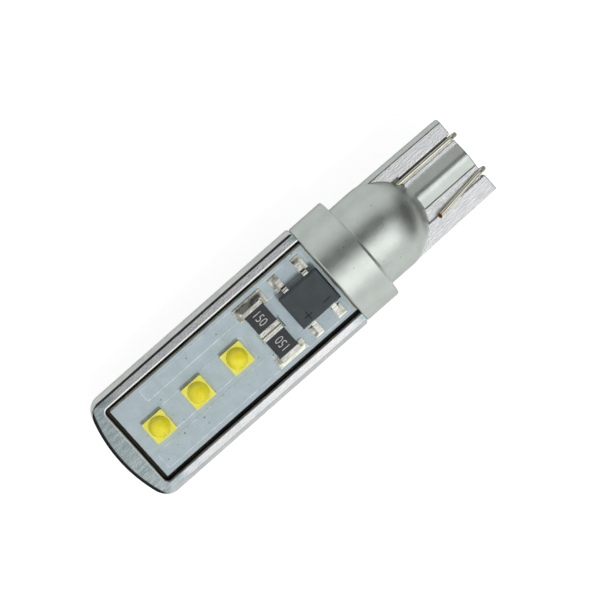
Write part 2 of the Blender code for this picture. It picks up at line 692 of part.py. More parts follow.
def make_side(side, frame, finishes):
    """One face's board with everything on it, and the contact wire that starts at it."""
    make_board(side, finishes["solder_mask"], frame)
    for i in range(LED_COUNT):
        x = FIRST_LED_X + LED_PITCH * i
        make_led(f"led_{side}_{i + 1}", finishes["led_phosphor"], frame, x)
    for number, away in ((1, 1), (2, -1)):
        y = ROW_SHIFT + away * RESISTOR_Y
        make_resistor(f"resistor_{side}_{number}", finishes["resistor_black"], frame, y)
    make_resistor_solder(side, finishes["solder"], frame)
    make_rectifier(side, finishes["rectifier_epoxy"], frame)
    make_leads(side, finishes["tinned_lead"], finishes["solder"], frame)
    make_wire_solder(side, finishes["solder"], frame)
    make_wire(f"contact_wire_{side}", contact_path(), WIRE_DIAMETER, finishes["contact_wire"], frame)


def lamp_points(lamp):
    """Every corner of the finished solids, in the lamp's own frame."""
    bpy.context.view_layer.update()
    graph = bpy.context.evaluated_depsgraph_get()
    points = []
    for item in bpy.context.scene.objects:
        if item.type == "EMPTY" or item.hide_render:
            continue
        solid = item.evaluated_get(graph)
        mesh = solid.to_mesh()
        place = lamp.matrix_world.inverted() @ solid.matrix_world
        points += [place @ vert.co for vert in mesh.vertices]
        solid.to_mesh_clear()
    return points


def resting_face(points):
    """The outward normal of the widest hull face it balances on, back face down, -Y side lower."""
    hull = bmesh.new()
    for point in points:
        hull.verts.new(point)
    bmesh.ops.convex_hull(hull, input=hull.verts)
    balance = Vector((-BODY_LENGTH * BALANCE_SHARE, 0, 0))
    best = None
    widest = 0
    for face in hull.faces:
        corners = [vert.co for vert in face.verts]
        normal = (corners[1] - corners[0]).cross(corners[2] - corners[0]).normalized()
        if normal.dot(corners[0] - balance) < 0:
            normal.negate()
        if normal.y > 0 or normal.z > 0:
            continue
        foot = balance + normal * normal.dot(corners[0] - balance)
        turns = [
            (after - corner).cross(foot - corner).dot(normal)
            for corner, after in zip(corners, corners[1:] + corners[:1])
        ]
        if (min(turns) >= 0 or max(turns) <= 0) and face.calc_area() > widest:
            widest = face.calc_area()
            best = normal
    hull.free()
    return best


def lay_down(lamp):
    """Turn the lamp onto the face it rests on, and put the origin under the middle of its box."""
    points = lamp_points(lamp)
    up = -resting_face(points)
    along = (Vector((1, 0, 0)) - up * up.x).normalized()
    turn = Matrix((along, up.cross(along), up))
    turned = [turn @ point for point in points]
    low = Vector([min(point[i] for point in turned) for i in range(3)])
    high = Vector([max(point[i] for point in turned) for i in range(3)])
    middle = (low + high) / 2
    lamp.matrix_world = Matrix.Translation((-middle.x, -middle.y, -low.z)) @ turn.to_4x4()


def main():
    """Clear the scene and build the lamp."""
    for item in list(bpy.data.objects):
        bpy.data.objects.remove(item, do_unlink=True)
    finishes = {
        name: material(name, colour, roughness, metallic)
        for name, colour, roughness, metallic in (
            ("aluminium", (0.55, 0.57, 0.57), 0.3, 1.0),
            ("silver_paint", (0.44, 0.48, 0.44), 0.4, 0.8),
            ("solder_mask", (0.42, 0.51, 0.54), 0.4, 0.0),
            ("led_phosphor", (0.72, 0.64, 0.04), 0.45, 0.0),
            ("resistor_black", (0.04, 0.042, 0.045), 0.45, 0.0),
            ("rectifier_epoxy", (0.058, 0.068, 0.072), 0.6, 0.0),
            ("tinned_lead", (0.5, 0.5, 0.46), 0.25, 1.0),
            ("solder", (0.58, 0.58, 0.55), 0.2, 1.0),
            ("contact_wire", (0.55, 0.52, 0.4), 0.25, 1.0),
            ("link_wire", (0.6, 0.58, 0.52), 0.3, 1.0),
        )
    }
    lamp = add_empty("lamp")
    sides = {"front": add_empty("front_side", lamp), "back": add_empty("back_side", lamp, math.pi)}
    make_body(finishes["aluminium"], sides, lamp)
    make_base(finishes["silver_paint"], sides, lamp)
    for side, frame in sides.items():
        make_side(side, frame, finishes)
    for number, away in ((1, 1), (2, -1)):
        path = link_path(away * LINK_SPACING / 2)
        make_wire(f"link_wire_{number}", path, LINK_DIAMETER, finishes["link_wire"], lamp)
    lay_down(lamp)


main()
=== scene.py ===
"""The looks of a wedge base LED bulb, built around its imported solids.

Every piece is modelled in millimetres in the lamp's own frame and then settled into the frame's metres:
x runs along the lamp from the collar's front face towards the blade's end, and z out of the front board.
The back is the front turned half round the lamp's axis.
"""

import json
import logging
import math
from dataclasses import dataclass
from enum import Enum
from typing import Callable, Iterable, Optional, Sequence

import bmesh
import bpy
from mathutils import Matrix, Vector


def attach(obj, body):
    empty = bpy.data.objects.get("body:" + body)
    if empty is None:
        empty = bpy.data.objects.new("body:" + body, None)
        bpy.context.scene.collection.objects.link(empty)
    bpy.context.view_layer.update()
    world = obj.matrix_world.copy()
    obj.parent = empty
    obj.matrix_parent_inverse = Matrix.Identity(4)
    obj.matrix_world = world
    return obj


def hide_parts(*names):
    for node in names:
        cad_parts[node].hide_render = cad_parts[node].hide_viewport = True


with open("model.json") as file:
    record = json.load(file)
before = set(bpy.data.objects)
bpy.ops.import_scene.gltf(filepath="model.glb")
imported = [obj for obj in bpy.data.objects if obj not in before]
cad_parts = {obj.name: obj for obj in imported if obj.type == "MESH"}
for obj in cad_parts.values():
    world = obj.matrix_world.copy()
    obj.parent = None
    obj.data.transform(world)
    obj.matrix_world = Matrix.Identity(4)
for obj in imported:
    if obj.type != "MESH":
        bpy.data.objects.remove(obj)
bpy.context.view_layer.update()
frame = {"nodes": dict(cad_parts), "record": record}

LOG = logging.getLogger("lamp")
BODY = "root"

# A millimetre in metres, the distance below which places are one, and the gap between seated pieces
MM = 0.001
TINY = 1e-4
SEAT = 0.02

# How far a cutter or a joined piece runs past what it meets
OVERRUN = 3.0

# How much of a normal lies along an axis on a face that counts as square to it
SQUARE = 0.95

# How rough the noise is, where its clouds and its grain start and end, and how a painted line fades
NOISE_ROUGHNESS = 0.6
CLOUD_RANGE = (0.35, 0.65)
GRAIN_RANGE = (0.3, 0.7)
LINE_FADE = 0.2

WHITE = (1, 1, 1, 1)

Point = Sequence[float]
FaceTest = Callable[[Vector, Vector], bool]
EdgeTest = Callable[[Vector, Vector], bool]


class Side(Enum):
    """The lamp's two faces."""

    FRONT = "front"
    BACK = "back"


class Element(Enum):
    """What is picked in edit mode."""

    VERT = "VERT"
    EDGE = "EDGE"
    FACE = "FACE"


class Operation(Enum):
    """What a second solid does to the first."""

    JOIN = "UNION"
    CUT = "DIFFERENCE"


@dataclass(frozen=True)
class Box:
    """A box in the lamp's frame, in millimetres."""

    low: Vector
    high: Vector

    @property
    def size(self) -> Vector:
        """The box's three lengths."""
        return self.high - self.low

    @property
    def middle(self) -> Vector:
        """The box's middle point."""
        return (self.low + self.high) / 2


class LampFrame:
    """Where the lamp's own frame lies in the frame's metres."""

    def __init__(self, record: dict, nodes: dict) -> None:
        """Read the lamp's axes from the blade's mounts.

        Args:
            record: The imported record.
            nodes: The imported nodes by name.
        """
        self.nodes = nodes
        mounts = {mount["name"]: mount for mount in record["mounts"]}
        along = Vector(mounts["blade_end"]["axis"]).normalized()
        out = Vector(mounts["blade_front_flange"]["axis"]).normalized()
        turn = Matrix((along, out.cross(along), out)).transposed()
        end = Vector(mounts["blade_end"]["pos_m"])
        front = min(along.dot(vert.co) for vert in nodes["wedge_base"].data.vertices)
        origin = end + along * (front - along.dot(end))
        self.to_row = Matrix.Translation(origin) @ turn.to_4x4() @ Matrix.Scale(MM, 4)

    def side(self, side: Side) -> Matrix:
        """The matrix that settles a piece of one face into the frame.

        Args:
            side: The lamp's face.

        Returns:
            The matrix from the face's own frame to metres.
        """
        turn = 0 if side is Side.FRONT else math.pi
        return self.to_row @ Matrix.Rotation(turn, 4, "X")

    def box(self, node: str) -> Box:
        """A node's box in the lamp's frame.

        Args:
            node: The node's name.

        Returns:
            Its box, in millimetres.
        """
        to_lamp = self.to_row.inverted()
        places = [to_lamp @ vert.co for vert in self.nodes[node].data.vertices]
        low = Vector([min(place[i] for place in places) for i in range(3)])
        high = Vector([max(place[i] for place in places) for i in range(3)])
        return Box(low, high)


def deselect() -> None:
    """Leave edit mode and select nothing."""
    if bpy.context.mode != "OBJECT":
        bpy.ops.object.mode_set(mode="OBJECT")
    bpy.ops.object.select_all(action="DESELECT")


def arc(centre: Point, radius: float, start: float, end: float, steps: int) -> list[tuple[float, float]]:
    """Points on an arc, both ends included.

    Args:
        centre: The arc's centre.
        radius: Its radius.
        start: The first angle, in degrees.
        end: The last angle, in degrees.
        steps: How many steps it takes.

    Returns:
        The points.
    """
    angles = [math.radians(start + (end - start) * i / steps) for i in range(steps + 1)]
    return [(centre[0] + radius * math.cos(a), centre[1] + radius * math.sin(a)) for a in angles]


def ease(share: float) -> float:
    """A smooth step from 0 to 1."""
    return share * share * (3 - 2 * share)


class Workpiece:
    """One mesh on the bench, in the lamp's frame and in millimetres."""

    def __init__(self, item: bpy.types.Object, name: str) -> None:
        """Take over an object as it was just added.

        Args:
            item: The object.
            name: The piece's name.
        """
        self.item = item
        self.item.name = name
        self.item.data.name = name

    @classmethod
    def block(cls, name: str, low: Point, high: Point) -> "Workpiece":
        """A cube between two corners.

        Args:
            name: The piece's name.
            low: The lowest corner.
            high: The highest corner.

        Returns:
            The piece.
        """
        deselect()
        low, high = Vector(low), Vector(high)
        bpy.ops.mesh.primitive_cube_add(size=1, location=(low + high) / 2, scale=high - low)
        bpy.ops.object.transform_apply(location=True, rotation=True, scale=True)
        return cls(bpy.context.object, name)

    @classmethod
    def rod(
        cls, name: str, centre: Point, radius: float, length: float, turn: Point, steps: int
    ) -> "Workpiece":
        """A cylinder about its centre.

        Args:
            name: The piece's name.
            centre: The middle of the cylinder.
            radius: Its radius.
            length: Its length.
            turn: Its rotation from upright, in degrees about x, y and z.
            steps: How many sides it has.

        Returns:
            The piece.
        """
        deselect()
        bpy.ops.mesh.primitive_cylinder_add(
            vertices=steps,
            radius=radius,
            depth=length,
            location=centre,
            rotation=[math.radians(angle) for angle in turn],
        )
        bpy.ops.object.transform_apply(location=True, rotation=True, scale=True)
        return cls(bpy.context.object, name)

    @classmethod
    def turned(cls, name: str, profile: Sequence[Point], steps: int) -> "Workpiece":
        """A profile turned about the lamp's axis.

        Args:
            name: The piece's name.
            profile: Points of (x, radius), which start and end on the axis.
            steps: How many steps the turn takes.

        Returns:
            The piece.
        """
        deselect()
        bpy.ops.mesh.primitive_plane_add(size=1)
        piece = cls(bpy.context.object, name)
        bpy.ops.object.mode_set(mode="EDIT")
        bpy.ops.mesh.select_mode(type="VERT")
        bpy.ops.mesh.merge(type="CENTER")
        start = profile[0]
        bpy.ops.transform.translate(value=(start[0], 0, start[1]))
        for before, after in zip(profile, profile[1:]):
            step = (after[0] - before[0], 0, after[1] - before[1])
            bpy.ops.mesh.extrude_vertices_move(TRANSFORM_OT_translate={"value": step})
        bpy.ops.mesh.select_all(action="SELECT")
        bpy.ops.mesh.spin(steps=steps, angle=2 * math.pi, center=(0, 0, 0), axis=(1, 0, 0))
        bpy.ops.mesh.select_all(action="SELECT")
        bpy.ops.mesh.remove_doubles(threshold=TINY)
        bpy.ops.mesh.normals_make_consistent(inside=False)
        deselect()
        return piece

    @classmethod
    def drawn(cls, name: str, outline: Sequence[Point], low: float, high: float) -> "Workpiece":
        """An outline across the lamp, drawn point by point, filled and drawn out along x.

        Args:
            name: The piece's name.
            outline: Points of (y, z), once round.
            low: Where the piece starts.
            high: Where it ends.

        Returns:
            The piece.
        """
        deselect()
        bpy.ops.mesh.primitive_plane_add(size=1)
        piece = cls(bpy.context.object, name)
        bpy.ops.object.mode_set(mode="EDIT")
        bpy.ops.mesh.select_mode(type="VERT")
        bpy.ops.mesh.merge(type="CENTER")
        bpy.ops.transform.translate(value=(low, *outline[0]))
        for before, after in zip(outline, outline[1:]):
            step = (0, after[0] - before[0], after[1] - before[1])
            bpy.ops.mesh.extrude_vertices_move(TRANSFORM_OT_translate={"value": step})
        bpy.ops.mesh.select_all(action="SELECT")
        bpy.ops.mesh.edge_face_add()
        bpy.ops.mesh.extrude_region_move(TRANSFORM_OT_translate={"value": (high - low, 0, 0)})
        bpy.ops.mesh.select_all(action="SELECT")
        bpy.ops.mesh.normals_make_consistent(inside=False)
        deselect()
        return piece

    def _edit(self, element: Element) -> bmesh.types.BMesh:
        """Open the piece in edit mode with nothing selected.

        Args:
            element: What is to be picked.

        Returns:
            The mesh in edit mode.
        """
        if bpy.context.mode != "EDIT_MESH":
            deselect()
            bpy.context.view_layer.objects.active = self.item
            self.item.select_set(True)
            bpy.ops.object.mode_set(mode="EDIT")
        bpy.ops.mesh.select_mode(type=element.value)
        bpy.ops.mesh.select_all(action="DESELECT")
        return bmesh.from_edit_mesh(self.item.data)

    def pick_faces(self, test: FaceTest) -> "Workpiece":
        """Select faces by their middle and normal.

        Args:
            test: Passes the face's middle and its normal.

        Returns:
            The piece.
        """
        mesh = self._edit(Element.FACE)
        for face in mesh.faces:
            face.select_set(test(face.calc_center_median(), face.normal))
        bmesh.update_edit_mesh(self.item.data)
        return self

    def pick_edges(self, test: EdgeTest, lean: float = 0.0) -> "Workpiece":
        """Select edges by their two ends.

        Args:
            test: Passes the edge's ends.
            lean: The least angle between the edge's faces, in degrees.

        Returns:
            The piece.
        """
        mesh = self._edit(Element.EDGE)
        least = math.radians(lean)
        for edge in mesh.edges:
            if edge.calc_face_angle(0.0) >= least:
                edge.select_set(test(edge.verts[0].co, edge.verts[1].co))
        bmesh.update_edit_mesh(self.item.data)
        return self

    def pick_ridges(self, lean: float) -> "Workpiece":
        """Select the edges that stand out.

        Args:
            lean: The least angle between the edge's faces, in degrees.

        Returns:
            The piece.
        """
        mesh = self._edit(Element.EDGE)
        for edge in mesh.edges:
            edge.select_set(edge.is_convex and edge.calc_face_angle(0.0) > math.radians(lean))
        bmesh.update_edit_mesh(self.item.data)
        return self

    def pick_verts(self, test: Callable[[Vector], bool]) -> "Workpiece":
        """Select vertices by their place.

        Args:
            test: Passes the vertex's place.

        Returns:
            The piece.
        """
        mesh = self._edit(Element.VERT)
        for vert in mesh.verts:
            vert.select_set(test(vert.co))
        bmesh.update_edit_mesh(self.item.data)
        return self

    def pick_all(self) -> "Workpiece":
        """Select the whole mesh.

        Returns:
            The piece.
        """
        self._edit(Element.VERT)
        bpy.ops.mesh.select_all(action="SELECT")
        return self

    def extrude(self, step: Point) -> "Workpiece":
        """Extrude the picked faces by a step."""
        bpy.ops.mesh.extrude_region_move(TRANSFORM_OT_translate={"value": step})
        return self

    def inset(self, width: float, depth: float = 0.0) -> "Workpiece":
        """Inset the picked faces, and sink them by a depth."""
        bpy.ops.mesh.inset(thickness=width, depth=-depth)
        return self

    def bevel(self, width: float, segments: int = 1) -> "Workpiece":
        """Bevel the picked edges."""
        bpy.ops.mesh.bevel(offset=width, segments=segments, affect="EDGES", clamp_overlap=False)
        return self

    def shift(self, step: Point) -> "Workpiece":
        """Move what is picked."""
        bpy.ops.transform.translate(value=step)
        return self

    def stretch(self, factors: Point, centre: Point) -> "Workpiece":
        """Scale what is picked about a point."""
        bpy.ops.transform.resize(value=factors, center_override=centre)
        return self

    def slice(self, place: Point, normal: Point, keep_all: bool = True) -> "Workpiece":
        """Cut the whole mesh with a plane.

        Args:
            place: A point on the plane.
            normal: The plane's normal.
            keep_all: Whether what lies beyond the plane stays.

        Returns:
            The piece.
        """
        self.pick_all()
        bpy.ops.mesh.bisect(
            plane_co=place, plane_no=normal, use_fill=not keep_all, clear_outer=not keep_all, threshold=TINY
        )
        return self

    def done(self) -> "Workpiece":
        """Leave edit mode."""
        deselect()
        return self

    def modify(self, kind: str, **settings: object) -> "Workpiece":
        """Add a modifier and apply it.

        Args:
            kind: The modifier's type.
            settings: Its settings.

        Returns:
            The piece.
        """
        deselect()
        bpy.context.view_layer.objects.active = self.item
        self.item.select_set(True)
        change = self.item.modifiers.new(kind.lower(), kind)
        for name, value in settings.items():
            setattr(change, name, value)
        bpy.ops.object.modifier_apply(modifier=change.name)
        return self

    def clean(self) -> "Workpiece":
        """Merge what lies in one place, and drop faces with no area.

        Returns:
            The piece.
        """
        self.pick_all()
        bpy.ops.mesh.remove_doubles(threshold=TINY)
        bpy.ops.mesh.dissolve_degenerate(threshold=TINY)
        return self.done()

    def soften(self, width: float, segments: int = 2, angle: float = 40.0) -> "Workpiece":
        """Round the sharp edges of a solid.

        Args:
            width: The rounding's width.
            segments: How many steps it takes.
            angle: The least angle of a sharp edge, in degrees.

        Returns:
            The piece.
        """
        return self.modify(
            "BEVEL",
            width=width,
            segments=segments,
            limit_method="ANGLE",
            angle_limit=math.radians(angle),
        )

    def combine(self, other: "Workpiece", operation: Operation) -> "Workpiece":
        """Join or cut the piece with another solid, which is used up.

        Args:
            other: The other solid.
            operation: What it does to the piece.

        Returns:
            The piece.
        """
        self.modify("BOOLEAN", object=other.item, operation=operation.value, solver="EXACT")
        data = other.item.data
        bpy.data.objects.remove(other.item)
        bpy.data.meshes.remove(data)
        return self

    def attach(self, others: Iterable["Workpiece"]) -> "Workpiece":
        """Put other meshes into this one as they are.

        Args:
            others: The other pieces, which are used up.

        Returns:
            The piece.
        """
        deselect()
        for other in others:
            other.item.select_set(True)
        self.item.select_set(True)
        bpy.context.view_layer.objects.active = self.item
        bpy.ops.object.join()
        return self

    def copy(self, name: str) -> "Workpiece":
        """A copy with a mesh of its own.

        Args:
            name: The copy's name.

        Returns:
            The copy.
        """
        item = self.item.copy()
        item.data = self.item.data.copy()
        bpy.context.scene.collection.objects.link(item)
        return Workpiece(item, name)

    def shape(self, level: Callable[[Vector], Vector]) -> "Workpiece":
        """Move each vertex to a place worked out from where it is.

        Args:
            level: Gives a vertex's new place.

        Returns:
            The piece.
        """
        for vert in self.item.data.vertices:
            vert.co = level(vert.co)
        self.item.data.update()
        return self

    def smooth(self, angle: float, weight: int = 100) -> "Workpiece":
        """Shade the piece smooth, its large faces flat.

        Args:
            angle: The least angle of an edge that stays sharp, in degrees.
            weight: How much the large faces count.

        Returns:
            The piece.
        """
        deselect()
        bpy.context.view_layer.objects.active = self.item
        self.item.select_set(True)
        bpy.ops.object.shade_smooth_by_angle(angle=math.radians(angle))
        self.modify("WEIGHTED_NORMAL", keep_sharp=True, weight=weight)
        return self

    def dress(self, finish: bpy.types.Material, test: Optional[FaceTest] = None) -> "Workpiece":
        """Give the piece, or the faces that pass a test, a finish.

        Args:
            finish: The finish.
            test: Passes a face's middle and its normal.

        Returns:
            The piece.
        """
        mesh = self.item.data
        mesh.materials.append(finish)
        slot = len(mesh.materials) - 1
        for face in mesh.polygons:
            if slot == 0 or (test and test(face.center, face.normal)):
                face.material_index = slot
        return self

    def settle(self, to_row: Matrix, slot: str, *nodes: str) -> "Workpiece":
        """Put the finished piece into the frame.

        Args:
            to_row: The matrix from the lamp's frame to metres.
            slot: The record's material slot; it is not used.
            nodes: The nodes that the piece stands for.

        Returns:
            The piece.
        """
        deselect()
        self.item.data.transform(to_row)
        self.item.matrix_world = Matrix.Identity(4)
        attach(self.item, BODY)
        if nodes:
            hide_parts(*nodes)
        LOG.info("%s: %d faces", self.item.name, len(self.item.data.polygons))
        return self


class NodeTree:
    """A finish's shader nodes, on coordinates in the lamp's frame."""

    def __init__(self, name: str, to_row: Matrix) -> None:
        """Start a material with a plain Principled shader.

        Args:
            name: The material's name.
            to_row: The matrix from the lamp's frame to metres.
        """
        self.material = bpy.data.materials.new(name)
        self.material.use_nodes = True
        self.nodes = self.material.node_tree.nodes
        self.links = self.material.node_tree.links
        self.shader = self.nodes["Principled BSDF"]
        place = self.nodes.new("ShaderNodeTexCoord").outputs["Object"]
        where, turn, scale = to_row.inverted().decompose()
        self.lamp = self.node("ShaderNodeMapping", {"Vector": place}).outputs[0]
        mapping = self.lamp.node
        mapping.inputs["Location"].default_value = where
        mapping.inputs["Rotation"].default_value = turn.to_euler()
        mapping.inputs["Scale"].default_value = scale

    def node(self, kind: str, inputs: dict, **settings: object) -> bpy.types.Node:
        """Add a node.

        Args:
            kind: The node's type.
            inputs: A value or a socket for each named input.
            settings: The node's own settings.

        Returns:
            The node.
        """
        made = self.nodes.new(kind)
        for name, value in settings.items():
            setattr(made, name, value)
        for name, value in inputs.items():
            if isinstance(value, bpy.types.NodeSocket):
                self.links.new(value, made.inputs[name])
            else:
                made.inputs[name].default_value = value
        return made

    def set(self, **inputs: object) -> None:
        """Set or link the shader's inputs.

        Args:
            inputs: A value or a socket for each input, with _ for each space in its name.
        """
        for name, value in inputs.items():
            socket = self.shader.inputs[name.replace("_", " ")]
            if isinstance(value, bpy.types.NodeSocket):
                self.links.new(value, socket)
            else:
                socket.default_value = value

    def stretched(self, factors: Point) -> bpy.types.NodeSocket:
        """The lamp's coordinates with each axis scaled."""
        return self.node("ShaderNodeMapping", {"Vector": self.lamp, "Scale": factors}).outputs[0]

    def noise(
        self, scale: float, detail: float, vector: Optional[bpy.types.NodeSocket] = None
    ) -> bpy.types.NodeSocket:
        """A cloudy value from 0 to 1.

        Args:
            scale: How many clouds a millimetre holds.
            detail: How many finer layers it has.
            vector: Other coordinates than the lamp's.

        Returns:
            The value.
        """
        inputs = {"Scale": scale, "Detail": detail, "Roughness": NOISE_ROUGHNESS}
        inputs["Vector"] = vector or self.lamp
        return self.node("ShaderNodeTexNoise", inputs).outputs["Fac"]

    def span(self, value: bpy.types.NodeSocket, low: float, high: float, out: Point) -> bpy.types.NodeSocket:
        """A value read from one range into another, and kept in it.

        Args:
            value: The value.
            low: Where the first range starts.
            high: Where it ends.
            out: The second range.

        Returns:
            The new value.
        """
        inputs = {"Value": value, "From Min": low, "From Max": high, "To Min": out[0], "To Max": out[1]}
        return self.node("ShaderNodeMapRange", inputs).outputs["Result"]

    def specks(self, scale: float, share: float, size: float) -> bpy.types.NodeSocket:
        """Scattered uneven dots, 1 in a dot and 0 outside.

        Args:
            scale: How many cells a millimetre holds.
            share: The share of cells that hold a dot.
            size: The dots' radius, as a share of a cell.

        Returns:
            The value.
        """
        wobble_scale, push_cells, full_share, step = 3, 0.5, 0.7, 0.01
        wobble = self.node("ShaderNodeTexNoise", {"Vector": self.lamp, "Scale": scale * wobble_scale})
        push = self.node("ShaderNodeVectorMath", {"Scale": push_cells / scale}, operation="SCALE")
        self.links.new(wobble.outputs["Color"], push.inputs[0])
        moved = self.node("ShaderNodeVectorMath", {}, operation="ADD")
        self.links.new(self.lamp, moved.inputs[0])
        self.links.new(push.outputs[0], moved.inputs[1])
        cells = self.node("ShaderNodeTexVoronoi", {"Vector": moved.outputs[0], "Scale": scale})
        near = self.span(cells.outputs["Distance"], size * full_share, size, (1, 0))
        pick = self.node("ShaderNodeSeparateColor", {"Color": cells.outputs["Color"]}).outputs[0]
        held = self.span(pick, 1 - share, 1 - share + step, (0, 1))
        both = self.node("ShaderNodeMath", {}, operation="MULTIPLY")
        self.links.new(near, both.inputs[0])
        self.links.new(held, both.inputs[1])
        return both.outputs[0]

    def blend(self, share: bpy.types.NodeSocket, first: object, second: object) -> bpy.types.NodeSocket:
        """A colour between two others.

        Args:
            share: How much of the second shows.
            first: A colour or a socket.
            second: A colour or a socket.

        Returns:
            The colour.
        """
        mix = self.node("ShaderNodeMix", {}, data_type="RGBA")
        self.links.new(share, mix.inputs[0])
        for value, socket in ((first, mix.inputs[6]), (second, mix.inputs[7])):
            if isinstance(value, bpy.types.NodeSocket):
                self.links.new(value, socket)
            else:
                socket.default_value = (*value, 1)
        return mix.outputs[2]

    def near_ball(self, ball: tuple[float, float], width: float) -> bpy.types.NodeSocket:
        """A line along the inside of a ball round a point of the lamp's axis.

        Args:
            ball: The point's place along the axis, and the ball's radius.
            width: How wide the line is.

        Returns:
            1 on the line and 0 inside it.
        """
        centre = self.node("ShaderNodeVectorMath", {0: self.lamp, 1: (ball[0], 0, 0)}, operation="DISTANCE")
        inside, fade = ball[1] - width, width * LINE_FADE
        return self.span(centre.outputs["Value"], inside - fade, inside + fade, (0, 1))

    def crown(self, corner: tuple[float, float], fall: float) -> bpy.types.NodeSocket:
        """A surface that falls away from a pocket, as on an edge dressed by hand.

        Args:
            corner: The pocket's front end and its half width.
            fall: How far it falls in a millimetre.

        Returns:
            The normal.
        """
        axes = self.node("ShaderNodeSeparateXYZ", {"Vector": self.lamp}).outputs
        side = self.node("ShaderNodeMath", {0: axes["Y"]}, operation="ABSOLUTE").outputs[0]
        beside = self.node("ShaderNodeMath", {0: side, 1: corner[1]}, operation="SUBTRACT").outputs[0]
        ahead = self.node("ShaderNodeMath", {0: corner[0], 1: axes["X"]}, operation="SUBTRACT").outputs[0]
        out = self.node("ShaderNodeMath", {0: beside, 1: ahead}, operation="MAXIMUM").outputs[0]
        return self.bump(self.node("ShaderNodeMath", {0: 0.0, 1: out}, operation="SUBTRACT").outputs[0], fall)

    def bump(
        self, height: bpy.types.NodeSocket, depth: float, under: Optional[bpy.types.NodeSocket] = None
    ) -> bpy.types.NodeSocket:
        """A relief for the shader's normal.

        Args:
            height: The relief, from 0 to 1.
            depth: How deep it is, in millimetres.
            under: Another relief that it lies on.

        Returns:
            The normal.
        """
        inputs = {"Height": height, "Distance": depth * MM, "Strength": 1.0}
        if under:
            inputs["Normal"] = under
        return self.node("ShaderNodeBump", inputs).outputs["Normal"]


@dataclass(frozen=True)
class GrainedMetal:
    """A bare or painted metal with a grain, clouds of tone and fine pits.

    The crown falls away from a corner, given by x and half width. The rim is what lies near the inside of
    a ball, given by its centre's x and its radius: a painted shade line along it, and behind that a streaked,
    darker bluish tint that is a painted reflection.
    """

    colour: Point
    shade: Point
    metallic: float
    roughness: tuple[float, float]
    grain: Point
    grain_depth: float
    speck_share: float = 0.0
    grain_detail: float = 5.0
    mark_colour: Point = (0.2, 0.18, 0.12)
    speck_scale: float = 2.6
    sparkle_scale: float = 30.0
    sparkle_depth: float = 0.0
    crown_fall: float = 0.0
    crown_corner: tuple[float, float] = (-24.9, 4.7)
    rim_shade_line: float = 0.0
    rim_ball: tuple[float, float] = (-12.23, 15.5)
    rim_reflection_width: float = 2.75
    rim_reflection_colour: Point = (0.5, 0.64, 0.66)
    cloud_scale: float = 0.6
    cloud_detail: float = 4.0
    speck_size: float = 0.3
    sparkle_detail: float = 2.0
    streak_scale: float = 0.7
    streak_range: tuple[float, float] = (0.42, 0.66)
    streak_share: tuple[float, float] = (1.0, 0.35)

    def make(self, name: str, to_row: Matrix) -> bpy.types.Material:
        """Build the finish.

        Args:
            name: The material's name.
            to_row: The matrix from the lamp's frame to metres.

        Returns:
            The material.
        """
        tree = NodeTree(name, to_row)
        clouds = tree.noise(self.cloud_scale, self.cloud_detail)
        colour = tree.blend(tree.span(clouds, *CLOUD_RANGE, (0, 1)), self.shade, self.colour)
        if self.speck_share:
            specks = tree.specks(self.speck_scale, self.speck_share, self.speck_size)
            colour = tree.blend(specks, colour, self.mark_colour)
        grain = tree.noise(1.0, self.grain_detail, tree.stretched(self.grain))
        sparkle = tree.noise(self.sparkle_scale, self.sparkle_detail)
        # The rim's bluish tint is a painted reflection and its dark line is painted shade, both laid by place
        # along the nose
        if self.rim_shade_line:
            streaks = tree.noise(self.streak_scale, self.grain_detail, tree.stretched(self.grain))
            painted_tint = tree.span(streaks, *self.streak_range, self.streak_share)
            tinted = tree.blend(painted_tint, colour, self.rim_reflection_colour)
            colour = tree.blend(tree.near_ball(self.rim_ball, self.rim_reflection_width), colour, tinted)
            line = tree.near_ball(self.rim_ball, self.rim_shade_line)
            colour = tree.blend(line, colour, self.mark_colour)
        under = tree.crown(self.crown_corner, self.crown_fall) if self.crown_fall else None
        relief = tree.bump(grain, self.grain_depth, under)
        if self.sparkle_depth:
            relief = tree.bump(sparkle, self.sparkle_depth, relief)
        tree.set(
            Base_Color=colour,
            Metallic=self.metallic,
            Roughness=tree.span(grain, *GRAIN_RANGE, self.roughness),
            Normal=relief,
        )
        return tree.material


@dataclass(frozen=True)
class Moulded:
    """A plastic, glaze or mask with clouds of tone, specks and an uneven skin."""

    colour: Point
    shade: Point
    roughness: tuple[float, float]
    skin_scale: float
    skin_depth: float
    speck_share: float = 0.0
    mark_colour: Point = (0.12, 0.09, 0.05)
    speck_scale: float = 2.4
    coat: float = 0.0
    glow: float = 0.0
    glow_reach: Point = (1.0, 0.7, 0.2)
    glow_depth: float = 0.4
    cloud_scale: float = 0.9
    detail: float = 4.0
    speck_size: float = 0.22

    def make(self, name: str, to_row: Matrix) -> bpy.types.Material:
        """Build the finish.

        Args:
            name: The material's name.
            to_row: The matrix from the lamp's frame to metres.

        Returns:
            The material.
        """
        tree = NodeTree(name, to_row)
        clouds = tree.noise(self.cloud_scale, self.detail)
        colour = tree.blend(tree.span(clouds, *CLOUD_RANGE, (0, 1)), self.shade, self.colour)
        if self.speck_share:
            specks = tree.specks(self.speck_scale, self.speck_share, self.speck_size)
            colour = tree.blend(specks, colour, self.mark_colour)
        skin = tree.noise(self.skin_scale, self.detail)
        tree.set(
            Base_Color=colour,
            Roughness=tree.span(skin, *GRAIN_RANGE, self.roughness),
            Coat_Weight=self.coat,
            Subsurface_Weight=self.glow,
            Subsurface_Radius=self.glow_reach,
            Subsurface_Scale=self.glow_depth * MM,
            Normal=tree.bump(skin, self.skin_depth),
        )
        return tree.material


